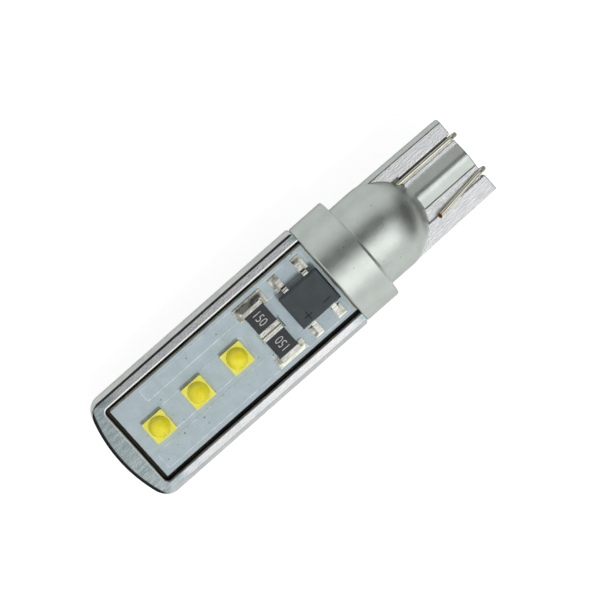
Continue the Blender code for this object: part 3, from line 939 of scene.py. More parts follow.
FINISHES = {
    "blasted_aluminium": GrainedMetal(
        (0.92, 0.95, 0.92), (0.78, 0.81, 0.78), 1.0, (0.38, 0.5), (1.2, 9.0, 9.0), 0.006
    ),
    # Milled flats, with a painted shade line and a painted bluish reflection along the nose; the near-black
    # colour here is the line's
    "milled_aluminium": GrainedMetal(
        (1.0, 1.0, 1.0), (0.88, 0.93, 0.96), 1.0, (0.16, 0.3), (1.3, 6.0, 6.0), 0.005,
        mark_colour=(0.03, 0.036, 0.035), sparkle_scale=5.0, sparkle_depth=0.006, crown_fall=0.02,
        rim_shade_line=0.3,
    ),
    # Painted shade: near-black for the broken edges that face away from the light
    "shaded_edge": GrainedMetal(
        (0.03, 0.036, 0.035), (0.018, 0.022, 0.02), 0.6, (0.4, 0.5), (2.0, 6.0, 6.0), 0.004
    ),
    # Painted shade for the blade's groove, edge and end lines
    "painted_shade_line": GrainedMetal((0.2, 0.22, 0.2), (0.1, 0.115, 0.105), 0.9, (0.35, 0.45), (2.0, 6.0, 6.0), 0.006),
    # Lighter painted shade for the pockets' rims that face away from the light
    "shaded_pocket_edge": GrainedMetal((0.42, 0.45, 0.42), (0.3, 0.33, 0.3), 0.9, (0.3, 0.4), (2.0, 6.0, 6.0), 0.006),
    # Painted highlight: smooth bright metal for the broken edges that face the light
    "highlit_edge": GrainedMetal(
        (0.8, 0.82, 0.82), (0.7, 0.73, 0.73), 1.0, (0.1, 0.2), (1.5, 5.0, 5.0), 0.004,
        sparkle_scale=4.0, sparkle_depth=0.008,
    ),
    # Painted shade for the pockets' walls and floors, dark brown
    "shaded_pocket_wall": GrainedMetal(
        (0.1, 0.085, 0.06), (0.05, 0.045, 0.035), 0.9, (0.3, 0.45), (1.5, 6.0, 6.0), 0.01
    ),
    "silver_paint": GrainedMetal(
        (0.79, 0.85, 0.8), (0.72, 0.78, 0.73), 0.95, (0.27, 0.38), (9.0, 9.0, 9.0), 0.005, 0.04,
        mark_colour=(0.62, 0.62, 0.48), sparkle_scale=9.0, sparkle_depth=0.014,
    ),
    "polished_silver": GrainedMetal(
        (0.97, 0.98, 0.99), (0.86, 0.88, 0.89), 1.0, (0.18, 0.3), (1.0, 8.0, 8.0), 0.009,
        sparkle_scale=7.0, sparkle_depth=0.016,
    ),
    "solder_mask": Moulded(
        (0.42, 0.5, 0.54), (0.37, 0.45, 0.48), (0.24, 0.36), 3.0, 0.004, 0.07, (0.16, 0.14, 0.1), coat=0.15
    ),
    # Near-white mask on the copper areas' sloped edges: partly thinner mask over the copper, mostly a painted
    # highlight
    "highlit_mask_edge": Moulded((0.9, 0.95, 0.98), (0.5, 0.58, 0.62), (0.12, 0.3), 5.0, 0.01, coat=0.3),
    "board_core": GrainedMetal(
        (0.5, 0.48, 0.44), (0.36, 0.33, 0.28), 1.0, (0.35, 0.5), (2.0, 9.0, 9.0), 0.01
    ),
    "phosphor_tile": Moulded((0.82, 0.77, 0.13), (0.76, 0.7, 0.08), (0.3, 0.42), 9.0, 0.004, glow=0.3),
    "phosphor_dome": Moulded(
        (0.8, 0.74, 0.035), (0.72, 0.64, 0.015), (0.2, 0.28), 3.0, 0.004, glow=0.7, coat=0.2
    ),
    "board_glue": Moulded((0.25, 0.26, 0.2), (0.14, 0.14, 0.1), (0.3, 0.45), 3.0, 0.01),
    "chip_glaze": Moulded((0.034, 0.036, 0.04), (0.028, 0.03, 0.034), (0.32, 0.42), 8.0, 0.004),
    "chip_ceramic": Moulded((0.6, 0.6, 0.56), (0.52, 0.52, 0.48), (0.5, 0.6), 10.0, 0.003),
    "chip_marking": Moulded((0.6, 0.61, 0.6), (0.5, 0.51, 0.5), (0.5, 0.6), 10.0, 0.002),
    "moulded_epoxy": Moulded((0.05, 0.062, 0.065), (0.042, 0.053, 0.056), (0.5, 0.62), 18.0, 0.006),
    "marking_recess": Moulded((0.018, 0.022, 0.025), (0.015, 0.018, 0.02), (0.6, 0.7), 18.0, 0.004),
    "tin_plate": GrainedMetal(
        (0.96, 0.96, 0.9), (0.8, 0.81, 0.73), 1.0, (0.1, 0.22), (2.0, 3.0, 3.0), 0.012, grain_detail=1.5
    ),
    "flowed_solder": GrainedMetal(
        (0.92, 0.93, 0.84), (0.72, 0.73, 0.62), 1.0, (0.2, 0.34), (1.6, 1.6, 1.6), 0.05, grain_detail=0.5
    ),
    "plated_wire": GrainedMetal(
        (0.88, 0.87, 0.73), (0.74, 0.72, 0.57), 1.0, (0.12, 0.24), (1.0, 6.0, 6.0), 0.006, 0.06,
        mark_colour=(0.3, 0.2, 0.1),
    ),
    "dulled_bend": GrainedMetal(
        (0.4, 0.4, 0.32), (0.32, 0.32, 0.25), 0.3, (0.4, 0.5), (4.0, 9.0, 9.0), 0.004
    ),
    "cut_copper": GrainedMetal(
        (0.26, 0.1, 0.035), (0.14, 0.055, 0.02), 1.0, (0.4, 0.55), (9.0, 9.0, 9.0), 0.01
    ),
    "link_copper": GrainedMetal((0.62, 0.58, 0.5), (0.5, 0.46, 0.4), 1.0, (0.3, 0.4), (2.0, 8.0, 8.0), 0.006),
    "adhesive": Moulded((0.22, 0.18, 0.08), (0.12, 0.1, 0.05), (0.25, 0.4), 3.0, 0.01, glow=0.1),
}


class FinishShop:
    """The finishes, each built once."""

    def __init__(self, to_row: Matrix) -> None:
        """Start with none.

        Args:
            to_row: The matrix from the lamp's frame to metres.
        """
        self.to_row = to_row
        self.made: dict[str, bpy.types.Material] = {}

    def __getitem__(self, name: str) -> bpy.types.Material:
        """A finish, built when it is first asked for.

        Args:
            name: The finish's name.

        Returns:
            The material.
        """
        if name not in self.made:
            self.made[name] = FINISHES[name].make(name, self.to_row)
        return self.made[name]


@dataclass
class SubAssembly:
    """What every sub-assembly needs to build its pieces."""

    lamp: LampFrame
    finishes: FinishShop

    def both_sides(self, piece: Workpiece, name: str, slot: str, *nodes: str) -> None:
        """Settle a front piece, and a copy of it on the back.

        Args:
            piece: The front piece.
            name: The piece's name, with {} where the side's name goes.
            slot: The record's material slot.
            nodes: The nodes that it stands for, with {} for the side.
        """
        twin = piece.copy(name.format(Side.BACK.value))
        piece.item.name = name.format(Side.FRONT.value)
        for each, side in ((piece, Side.FRONT), (twin, Side.BACK)):
            stands_for = [node.format(side.value) for node in nodes]
            each.settle(self.lamp.side(side), slot, *stands_for)


@dataclass
class HeatSink(SubAssembly):
    """The turned bar with two milled flats, a board pocket in each, and its tongue."""

    nose_radius: float = 15.5
    nose_corner: float = 1.55
    flat_half: float = 2.5
    rear_edge: float = 0.3
    rim_chamfer: float = 0.14
    pocket_chamfer: float = 0.2
    pocket_corner: float = 0.5
    nose_gap: float = 0.42
    side_gap: float = 0.41
    turn_steps: int = 160
    tongue_half: float = 4.395
    nose_steps: int = 26
    nose_corner_steps: int = 14
    rear_steps: int = 4
    corner_steps: int = 8
    crease: float = 28.0
    rim_lean: float = 20.0
    slack: float = 0.01
    near: float = 0.001
    edge_depth: float = 0.08
    broken_range: tuple[float, float] = (0.3, 0.98)
    rim_start: float = 2.0
    wall_start: float = 1.9

    def build(self) -> None:
        """Model the bar and dress it."""
        box = self.lamp.box("heat_sink_body")
        board = self.lamp.box("circuit_board_front")
        radius = box.high.y
        web = board.low.z - SEAT
        bar = Workpiece.turned("heat_sink", self.profile(-box.low.x, radius), self.turn_steps)
        for away in (1, -1):
            bar.slice((0, 0, away * self.flat_half), (0, 0, away), keep_all=False)
            for side in (1, -1):
                start = math.sqrt(radius**2 - self.flat_half**2) - self.rim_chamfer
                bar.slice((0, side * start, away * self.flat_half), (0, side, away), keep_all=False)
        bar.done()
        blank_half = (self.flat_half + web) / 2
        low = (-OVERRUN, -self.tongue_half, -blank_half)
        high = (box.high.x, self.tongue_half, blank_half)
        bar.combine(Workpiece.block("tongue", low, high), Operation.JOIN)
        for away in (1, -1):
            bar.combine(self.pocket(board, web, away), Operation.CUT)
        self.break_edges(bar, board)
        bar.smooth(self.crease)
        self.dress_bar(bar, board, box.low.x)
        bar.settle(self.lamp.to_row, "aluminium", "heat_sink_body")

    def dress_bar(self, bar: Workpiece, board: Box, nose: float) -> None:
        """Give the bar's faces their finishes, with painted highlight and painted shade on the broken edges
        and painted shade in the pockets.

        Args:
            bar: The bar.
            board: The front board's box.
            nose: Where the nose ends.
        """
        flat = self.flat_half - self.rim_chamfer - self.slack
        inner = self.pocket_edge(board)[1]
        least, most = self.broken_range

        def on_edge(place: Vector, normal: Vector) -> bool:
            """Whether a face lies on a broken edge."""
            at_flat = flat - self.edge_depth < abs(place.z)
            return at_flat and least < abs(normal.z) < most and abs(normal.x) < SQUARE

        def lit(place: Vector, normal: Vector) -> bool:
            """Whether it lies on one that faces the light."""
            return on_edge(place, normal) and normal.y * place.z < -least * abs(place.z)

        def unlit(place: Vector, normal: Vector) -> bool:
            """Whether it lies on one that faces away from the light."""
            turned = normal.y * place.z > least * abs(place.z) or normal.x < -least
            return on_edge(place, normal) and turned

        def on_rim(place: Vector, normal: Vector) -> bool:
            """Whether it lies on such an edge of a pocket."""
            at_pocket = abs(place.y) < inner + self.pocket_chamfer and place.x > nose + self.rim_start
            return at_pocket and unlit(place, normal)

        def in_pocket(place: Vector, _: Vector) -> bool:
            """Whether a face lies inside a pocket."""
            below = abs(place.z) < flat - self.edge_depth
            return below and abs(place.y) < inner + self.slack and place.x > nose + self.wall_start

        def milled(place: Vector, normal: Vector) -> bool:
            """Whether a face lies on a flat."""
            return abs(place.z) > flat and abs(normal.z) > SQUARE

        bar.dress(self.finishes["blasted_aluminium"])
        bar.dress(self.finishes["milled_aluminium"], milled)
        # Painted highlight on the edges that face the light, painted shade on those that face away, lighter
        # on the pockets' rims
        bar.dress(self.finishes["highlit_edge"], lit)
        bar.dress(self.finishes["shaded_edge"], unlit)
        bar.dress(self.finishes["shaded_pocket_edge"], on_rim)
        # Painted shade inside the pockets
        bar.dress(self.finishes["shaded_pocket_wall"], in_pocket)

    def pocket_edge(self, board: Box) -> tuple[float, float]:
        """Where a pocket's front end and its sides lie.

        Args:
            board: The front board's box.

        Returns:
            The end's x and half the pocket's width.
        """
        return board.low.x - self.nose_gap, board.high.y + self.side_gap

    def profile(self, length: float, radius: float) -> list[tuple[float, float]]:
        """The bar's profile, from the nose's middle to the middle of its back end.

        Args:
            length: The bar's length.
            radius: Its radius.

        Returns:
            Points of (x, radius).
        """
        reach = self.nose_radius - self.nose_corner
        corner_r = radius - self.nose_corner
        corner_x = math.sqrt(reach**2 - corner_r**2)
        turn = math.degrees(math.atan2(corner_r, corner_x))
        centre = self.nose_radius - length
        points = [(x, r) for x, r in arc((centre, 0), self.nose_radius, 180, 180 - turn, self.nose_steps)]
        points[0] = (points[0][0], 0)
        corner = (centre - corner_x, corner_r)
        points += arc(corner, self.nose_corner, 180 - turn, 90, self.nose_corner_steps)[1:]
        rear = (-SEAT - self.rear_edge, radius - self.rear_edge)
        points += arc(rear, self.rear_edge, 90, 0, self.rear_steps)
        return [*points, (-SEAT, 0)]

    def pocket(self, board: Box, web: float, away: int) -> Workpiece:
        """The cutter of a board pocket.

        Args:
            board: The board's box.
            web: The pocket floor's height.
            away: 1 for the front and -1 for the back.

        Returns:
            The cutter.
        """
        front, half = self.pocket_edge(board)
        low, high = sorted((away * web, away * (self.flat_half + OVERRUN)))
        cutter = Workpiece.block("pocket", (front, -half, low), (board.high.x + OVERRUN, half, high))
        upright = lambda a, b: abs(a.z - b.z) > TINY and max(a.x, b.x) < front + TINY
        cutter.pick_edges(upright).bevel(self.pocket_corner, self.corner_steps)
        return cutter.done()

    def break_edges(self, bar: Workpiece, board: Box) -> None:
        """Chamfer the pockets' rims.

        Args:
            bar: The bar.
            board: The front board's box.
        """
        front, half = self.pocket_edge(board)
        front, half, flat = front - self.near, half + self.near, self.flat_half - self.near

        def at_pocket(a: Vector, b: Vector) -> bool:
            """Whether an edge lies on a pocket's rim."""
            inside = max(abs(a.y), abs(b.y)) < half and min(a.x, b.x) > front
            return inside and min(abs(a.z), abs(b.z)) > flat and a.z * b.z > 0

        bar.pick_edges(at_pocket, lean=self.rim_lean).bevel(self.pocket_chamfer, 2).done()


@dataclass
class BaseFitted(SubAssembly):
    """The base's sizes that its contact wires follow."""

    neck_radius: float = 4.85
    neck_end: float = 7.05
    chamber_reach: float = 0.95
    flange_height: float = 1.15
    notch: float = 0.35
    wire_height: float = 0.92


@dataclass
class WedgeBase(BaseFitted):
    """The one-piece silver base: collar, neck, domed end and blade."""

    collar_edge: float = 0.18
    collar_fillet: float = 0.26
    turn_steps: int = 144
    web: float = 1.24
    rib_half: float = 1.45
    rib_edge: float = 0.97
    rib_top: float = 1.46
    rib_round: float = 1.46
    rib_slope: float = 23.0
    rib_line: float = 0.9
    shoulder_reach: float = 1.9
    shoulder_height: float = 0.79
    groove_reach: float = 2.72
    root_half: float = 4.78
    side_cut: float = 0.8
    side_strip: float = 0.42
    side_draft: float = 0.1
    painted_shade_line: float = 0.11
    end_half: float = 4.62
    edge: float = 0.07
    notch_inset: float = 0.1
    socket_depth: float = 3.4
    socket_half: float = 4.495
    socket_corner: float = 0.4
    collar_wall: float = 0.8
    board_room: float = 0.1
    chamber_half: float = 3.12
    chamber_height: float = 2.0
    hole_radius: float = 0.65
    hole_overrun: float = 0.4
    hole_steps: int = 28
    edge_steps: int = 5
    fillet_steps: int = 7
    dome_steps: int = 34
    rib_steps: int = 8
    socket_steps: int = 4
    crease: float = 28.0
    ridge_lean: float = 55.0
    dome_skin: float = 0.03
    rib_flat: float = 0.85
    end_lean: float = 0.3
    line_depth: float = 0.1
    painted_shade_reach: float = 1.6

    @property
    def groove_middle(self) -> float:
        """The distance from the rib's middle to a wire groove's."""
        return (self.shoulder_reach + self.groove_reach) / 2

    def build(self) -> None:
        """Model the base and dress it."""
        box = self.lamp.box("wedge_base")
        collar = max(box.high.y, -box.low.y)
        board = self.lamp.box("circuit_board_front")
        base = Workpiece.turned("base_shell", self.profile(collar), self.turn_steps)
        base.combine(self.blade(box.high.x), Operation.JOIN)
        self.hollow(base, board)
        base.smooth(self.crease)
        base.dress(self.finishes["silver_paint"])
        base.dress(self.finishes["polished_silver"], self.on_blade)
        # The last test lays painted shade on the blade
        tests = (("silver_paint", self.on_side), ("silver_paint", self.on_rib), ("painted_shade_line", self.in_painted_shade))
        for finish, test in tests:
            base.dress(self.finishes[finish], lambda *face: self.on_blade(*face) and test(*face))
        base.settle(self.lamp.to_row, "silver_paint", "wedge_base")

    def profile(self, collar: float) -> list[tuple[float, float]]:
        """The turned part's profile.

        Args:
            collar: The collar's radius.

        Returns:
            Points of (x, radius).
        """
        edge = self.collar_edge
        length = self.socket_depth + self.collar_wall
        root = (length + self.collar_fillet, self.neck_radius + self.collar_fillet)
        points = [(0.0, 0.0), *arc((edge, collar - edge), edge, 180, 90, self.edge_steps)]
        points += arc((length - edge, collar - edge), edge, 90, 0, self.edge_steps)
        points += arc(root, self.collar_fillet, 180, 270, self.fillet_steps)
        points += arc((self.neck_end, 0), self.neck_radius, 90, 0, self.dome_steps)
        points[-1] = (points[-1][0], 0.0)
        return points

    def blade(self, end: float) -> Workpiece:
        """The blade, from inside the dome to its end.

        Args:
            end: Where the blade ends.

        Returns:
            The blade.
        """
        start = self.neck_end - self.collar_fillet
        half = self.web / 2
        blade = Workpiece.block("blade", (start, -self.root_half, -half), (end, self.root_half, half))
        last = self.rib_steps
        crown_rows = [self.rib_half * self.rib_line * i / last for i in range(last + 1)]
        # The last line bounds the painted shade strip along the flange's edge
        painted_shade_line = self.root_half - self.side_strip - self.painted_shade_line
        lines = (self.rib_half, self.shoulder_reach, self.groove_middle, self.groove_reach, painted_shade_line)
        for line in (*crown_rows, *lines):
            for away in (1, -1) if line else (1,):
                blade.slice((0, away * line, 0), (0, 1, 0))
        bands = (
            (0, self.shoulder_reach, half, self.shoulder_height),
            (0, self.rib_half, self.shoulder_height, self.rib_edge),
            (self.groove_reach, self.root_half, half, self.flange_height),
        )
        for low, high, start_z, height in bands:
            for away in (1, -1):
                blade.pick_faces(
                    lambda place, normal: normal.z * away > SQUARE
                    and low < abs(place.y) < high
                    and abs(abs(place.z) - start_z) < TINY
                )
                blade.extrude((0, 0, away * (height - start_z)))
        for line in crown_rows:
            rise = self.rib_level(line) - self.rib_edge
            for away in (1, -1):
                blade.pick_verts(
                    lambda place: abs(abs(place.y) - line) < TINY
                    and abs(place.z * away - self.rib_edge) < TINY
                ).shift((0, 0, away * rise))
        for level in (0, self.side_cut, -self.side_cut):
            blade.slice((0, 0, level), (0, 0, 1))
        blade.done()
        blade.shape(self.round_side)
        taper = self.end_half / self.root_half
        blade.pick_verts(lambda place: place.x > end - TINY and abs(place.y) > self.groove_reach + SEAT)
        blade.stretch((1, taper, 1), (end, 0, 0))
        blade.done()
        for away in (1, -1):
            middle = away * self.groove_middle
            width = (self.groove_reach - self.shoulder_reach) / 2 - self.notch_inset
            low = (end - self.notch, middle - width, -OVERRUN)
            high = (end + OVERRUN, middle + width, OVERRUN)
            blade.combine(Workpiece.block("notch", low, high), Operation.CUT)
        return blade.clean().pick_ridges(self.ridge_lean).bevel(self.edge, 2).done()

    def rib_level(self, across: float) -> float:
        """The rib's height, round along its middle and straight down to its edges.

        Args:
            across: The distance from the rib's middle.

        Returns:
            The height above the lamp's axis.
        """
        slope = math.radians(self.rib_slope)
        straight = self.rib_round * math.sin(slope)
        fall = self.rib_round * (1 - math.cos(min(slope, math.asin(min(across / self.rib_round, 1)))))
        fall += max(across - straight, 0) * math.tan(slope)
        return self.rib_top - fall

    def round_side(self, place: Vector) -> Vector:
        """Round the blade's outer sides over towards two of its four corners.

        Args:
            place: A point of the square blade.

        Returns:
            Where it goes.
        """
        if abs(place.y) < self.root_half - TINY:
            return place
        share = min(abs(place.z) / self.flange_height, 1)
        rounded = place.y * place.z > 0
        fall = self.side_strip * (1 - math.sqrt(1 - share**2)) if rounded else self.side_draft * share
        return Vector((place.x, math.copysign(self.root_half - fall, place.y), place.z))

    def hollow(self, base: Workpiece, board: Box) -> None:
        """Cut the socket, the chamber behind it and the two wire holes.

        Args:
            base: The base.
            board: The front board's box.
        """
        top = board.high.z + self.board_room
        end = self.neck_end + self.chamber_reach
        hollows = (
            ("socket", (-OVERRUN, self.socket_depth), self.socket_half, top),
            ("chamber", (self.socket_depth / 2, end), self.chamber_half, self.chamber_height),
        )
        for name, (start, stop), half, height in hollows:
            cutter = Workpiece.block(name, (start, -half, -height), (stop, half, height))
            cutter.pick_edges(lambda a, b: abs(a.x - b.x) > TINY).bevel(self.socket_corner, self.socket_steps)
            base.combine(cutter.done(), Operation.CUT)
        across, height = self.groove_middle, self.wire_height
        reach = math.sqrt(self.neck_radius**2 - across**2 - height**2) + self.hole_overrun
        start = (self.socket_depth + end) / 2
        stop = self.neck_end + reach
        for away in (1, -1):
            centre, length = ((start + stop) / 2, away * across, away * height), stop - start
            drill = Workpiece.rod("hole", centre, self.hole_radius, length, (0, 90, 0), self.hole_steps)
            base.combine(drill, Operation.CUT)

    def on_blade(self, place: Vector, _: Vector) -> bool:
        """Whether a face lies on the blade."""
        past_dome = (place.x - self.neck_end) ** 2 + place.y**2 + place.z**2
        return place.x > self.neck_end and past_dome > (self.neck_radius + self.dome_skin) ** 2

    def on_side(self, place: Vector, normal: Vector) -> bool:
        """Whether a face lies on the blade's rounded side."""
        return abs(place.y) > self.end_half - self.side_strip and abs(normal.z) < SQUARE

    def on_rib(self, place: Vector, normal: Vector) -> bool:
        """Whether a face lies on the rib's rounded top."""
        on_top = abs(place.y) < self.rib_half and abs(place.z) > self.rib_edge
        return on_top and abs(normal.z) > self.rib_flat

    def in_painted_shade(self, place: Vector, normal: Vector) -> bool:
        """Whether a face carries painted shade: a groove's half away from the light, a line along the
        flange's edge, the rib's lower edge and the slanted end faces.

        Args:
            place: The face's middle.
            normal: Its normal.

        Returns:
            Whether it does.
        """
        across, up = abs(place.y), abs(place.z)
        low = self.shoulder_height - self.line_depth
        strip = self.root_half - self.side_strip - self.painted_shade_line * self.painted_shade_reach
        rounded = place.y * place.z > 0
        groove = rounded and self.groove_middle < across < self.groove_reach + SEAT and up < low
        flat = rounded and abs(normal.z) > SQUARE and across > strip
        ledge = not rounded and self.rib_half * self.rib_line < across < self.rib_half + self.edge * 2
        step = ledge and self.shoulder_height + self.edge / 2 < up
        return groove or flat or step or (self.end_lean < normal.x < SQUARE and up > low)


@dataclass
class CircuitBoard(SubAssembly):
    """A board with its raised copper areas under the solder mask."""

    edge: float = 0.03
    copper_rise: float = 0.06
    copper_corner: float = 0.3
    copper_edge: float = 0.05
    copper_steps: int = 6
    mask_depth: float = 0.06
    skin: float = 0.002
    crease: float = 30.0
    copper_crease: float = 40.0

    # Each copper area's two ends along the lamp and its two edges across it
    areas: tuple[tuple[float, float, float, float], ...] = (
        (-21.6, -9.4, 2.55, 3.95),
        (-23.3, -10.55, -1.31, 1.44),
        (-24.4, -9.4, -3.81, -1.85),
        (-6.2, -0.6, 2.2, 3.98),
        (-6.2, -0.6, -4.0, -2.3),
    )

    def build(self) -> None:
        """Model the board and dress both."""
        box = self.lamp.box("circuit_board_front")
        board = Workpiece.block("board", box.low, box.high)
        board.soften(self.edge, 2)
        pours = [self.pour(box, *area) for area in self.areas]
        board.smooth(self.crease)
        for pour in pours:
            pour.smooth(self.copper_crease)
        board.attach(pours)
        board.dress(self.finishes["solder_mask"])
        # The copper areas' sloped edges get a painted highlight
        slope = lambda place, normal: place.z > box.high.z + self.skin and abs(normal.z) < SQUARE
        board.dress(self.finishes["highlit_mask_edge"], slope)
        core = box.high.z - self.mask_depth
        board.dress(self.finishes["board_core"], lambda place, _: place.z < core)
        self.both_sides(board, "board_{}", "solder_mask", "circuit_board_{}")

    def pour(self, box: Box, start: float, stop: float, low: float, high: float) -> Workpiece:
        """A raised copper area.

        Args:
            box: The board's box.
            start: Its end towards the nose.
            stop: Its end towards the collar.
            low: Its lower edge across the board.
            high: Its upper edge across the board.

        Returns:
            The area.
        """
        root, top = box.high.z - self.copper_rise, box.high.z + self.copper_rise
        pour = Workpiece.block("pour", (start, low, root), (stop, high, top))
        pour.pick_edges(lambda a, b: abs(a.z - b.z) > self.copper_rise)
        pour.bevel(self.copper_corner, self.copper_steps)
        pour.pick_edges(lambda a, b: min(a.z, b.z) > top - TINY, lean=self.crease)
        return pour.bevel(self.copper_edge, 2).done()


@dataclass
class LedPackage(SubAssembly):
    """A square package with a moulded dome over a phosphor tile."""

    count: int = 3
    height: float = 0.8
    edge: float = 0.025
    corner: float = 0.07
    dome_rim: float = 0.15
    dome_height: float = 0.95
    ledge: float = 0.05
    ledge_share: float = 0.7
    dome_steps: int = 48
    edge_lean: float = 60.0
    tile_crease: float = 35.0
    dome_crease: float = 50.0

    def build(self) -> None:
        """Model each package and dress both sides'."""
        for number in range(1, self.count + 1):
            box = self.lamp.box(f"led_front_{number}")
            tile = self.tile(box)
            self.both_sides(tile, f"led_tile_{{}}_{number}", "led_phosphor", f"led_{{}}_{number}")
            dome = self.dome(box)
            self.both_sides(dome, f"led_dome_{{}}_{number}", "led_phosphor")

    def tile(self, box: Box) -> Workpiece:
        """The square body, its top a little sunk round the dome.

        Args:
            box: The package's box.

        Returns:
            The body.
        """
        top = box.low.z + self.height
        tile = Workpiece.block("tile", box.low, (box.high.x, box.high.y, top))
        tile.pick_edges(lambda a, b: abs(a.z - b.z) > TINY).bevel(self.corner, 1)
        tile.pick_faces(lambda place, _: place.z > top - TINY).inset(self.dome_rim * self.ledge_share)
        tile.inset(self.ledge, self.ledge / 2).done()
        tile.soften(self.edge, angle=self.edge_lean).smooth(self.tile_crease)
        return tile.dress(self.finishes["phosphor_tile"])

    def dome(self, box: Box) -> Workpiece:
        """The moulded dome.

        Args:
            box: The package's box.

        Returns:
            The dome.
        """
        foot = box.size.x / 2 - self.dome_rim
        radius = (foot**2 + self.dome_height**2) / (2 * self.dome_height)
        base = box.low.z + self.height - self.ledge
        centre = Vector((box.middle.x, box.middle.y, base + self.ledge + self.dome_height - radius))
        deselect()
        bpy.ops.mesh.primitive_uv_sphere_add(
            segments=self.dome_steps, ring_count=self.dome_steps // 2, radius=radius, location=centre
        )
        bpy.ops.object.transform_apply(location=True, rotation=True, scale=True)
        dome = Workpiece(bpy.context.object, "dome")
        dome.slice((0, 0, base), (0, 0, -1), keep_all=False)
        dome.pick_faces(lambda place, normal: normal.z < -SQUARE).extrude((0, 0, -self.ledge / 2))
        return dome.done().smooth(self.dome_crease).dress(self.finishes["phosphor_dome"])


@dataclass
class ChipResistor(SubAssembly):
    """A chip resistor: ceramic, black glaze with plain numbers, and wrapped ends."""

    terminal: float = 0.45
    step: float = 0.03
    glaze_depth: float = 0.054
    crease: float = 40.0
    edge: float = 0.05
    edge_steps: int = 3
    text: str = "150"
    text_steps: int = 4
    text_height: float = 0.98
    text_length: float = 1.25
    text_thinning: float = 0.016
    text_rise: float = 0.012

    def build(self) -> None:
        """Model both chips and dress both sides'."""
        for number, turn in ((1, -90), (2, 90)):
            box = self.lamp.box(f"resistor_front_{number}")
            chip = self.chip(box)
            name = f"chip_resistor_{{}}_{number}"
            self.both_sides(chip, name, "resistor_black", f"resistor_{{}}_{number}")
            marking = self.marking(box, turn)
            self.both_sides(marking, f"chip_numbers_{{}}_{number}", "resistor_black")

    def chip(self, box: Box) -> Workpiece:
        """The chip with its ends.

        Args:
            box: The chip's box.

        Returns:
            The chip.
        """
        inner = (box.low.y + self.terminal, box.high.y - self.terminal)
        ends = [
            Workpiece.block("end", box.low, (box.high.x, inner[0], box.high.z)),
            Workpiece.block("end", (box.low.x, inner[1], box.low.z), box.high),
        ]
        for end in ends:
            end.soften(self.edge, self.edge_steps).smooth(self.crease)
            end.dress(self.finishes["tin_plate"])
        low = (box.low.x + self.step, inner[0] - self.terminal / 2, box.low.z + self.step)
        high = (box.high.x - self.step, inner[1] + self.terminal / 2, box.high.z - self.step)
        chip = Workpiece.block("chip", low, high)
        chip.soften(self.step / 2, 2).smooth(self.crease)
        chip.dress(self.finishes["chip_ceramic"])
        glaze = box.high.z - self.glaze_depth
        chip.dress(self.finishes["chip_glaze"], lambda place, _: place.z > glaze)
        return chip.attach(ends)

    def marking(self, box: Box, turn: float) -> Workpiece:
        """The printed numbers.

        Args:
            box: The chip's box.
            turn: How far they are turned on the chip, in degrees.

        Returns:
            The numbers.
        """
        deselect()
        bpy.ops.object.text_add()
        words = bpy.context.object
        words.data.body = self.text
        words.data.extrude = self.text_rise
        words.data.offset = -self.text_thinning
        words.data.resolution_u = self.text_steps
        bpy.ops.object.convert(target="MESH")
        numbers = Workpiece(bpy.context.object, "numbers")
        numbers.clean()
        corners = [vert.co for vert in numbers.item.data.vertices]
        low = Vector([min(place[i] for place in corners) for i in range(3)])
        high = Vector([max(place[i] for place in corners) for i in range(3)])
        size = high - low
        fit = Matrix.Diagonal((self.text_length / size.x, self.text_height / size.y, 1, 1))
        centre = Matrix.Translation(-(low + high) / 2)
        place = Matrix.Translation((box.middle.x, box.middle.y, box.high.z - self.step))
        spin = Matrix.Rotation(math.radians(turn), 4, "Z")
        numbers.item.data.transform(place @ spin @ fit @ centre)
        return numbers.dress(self.finishes["chip_marking"])


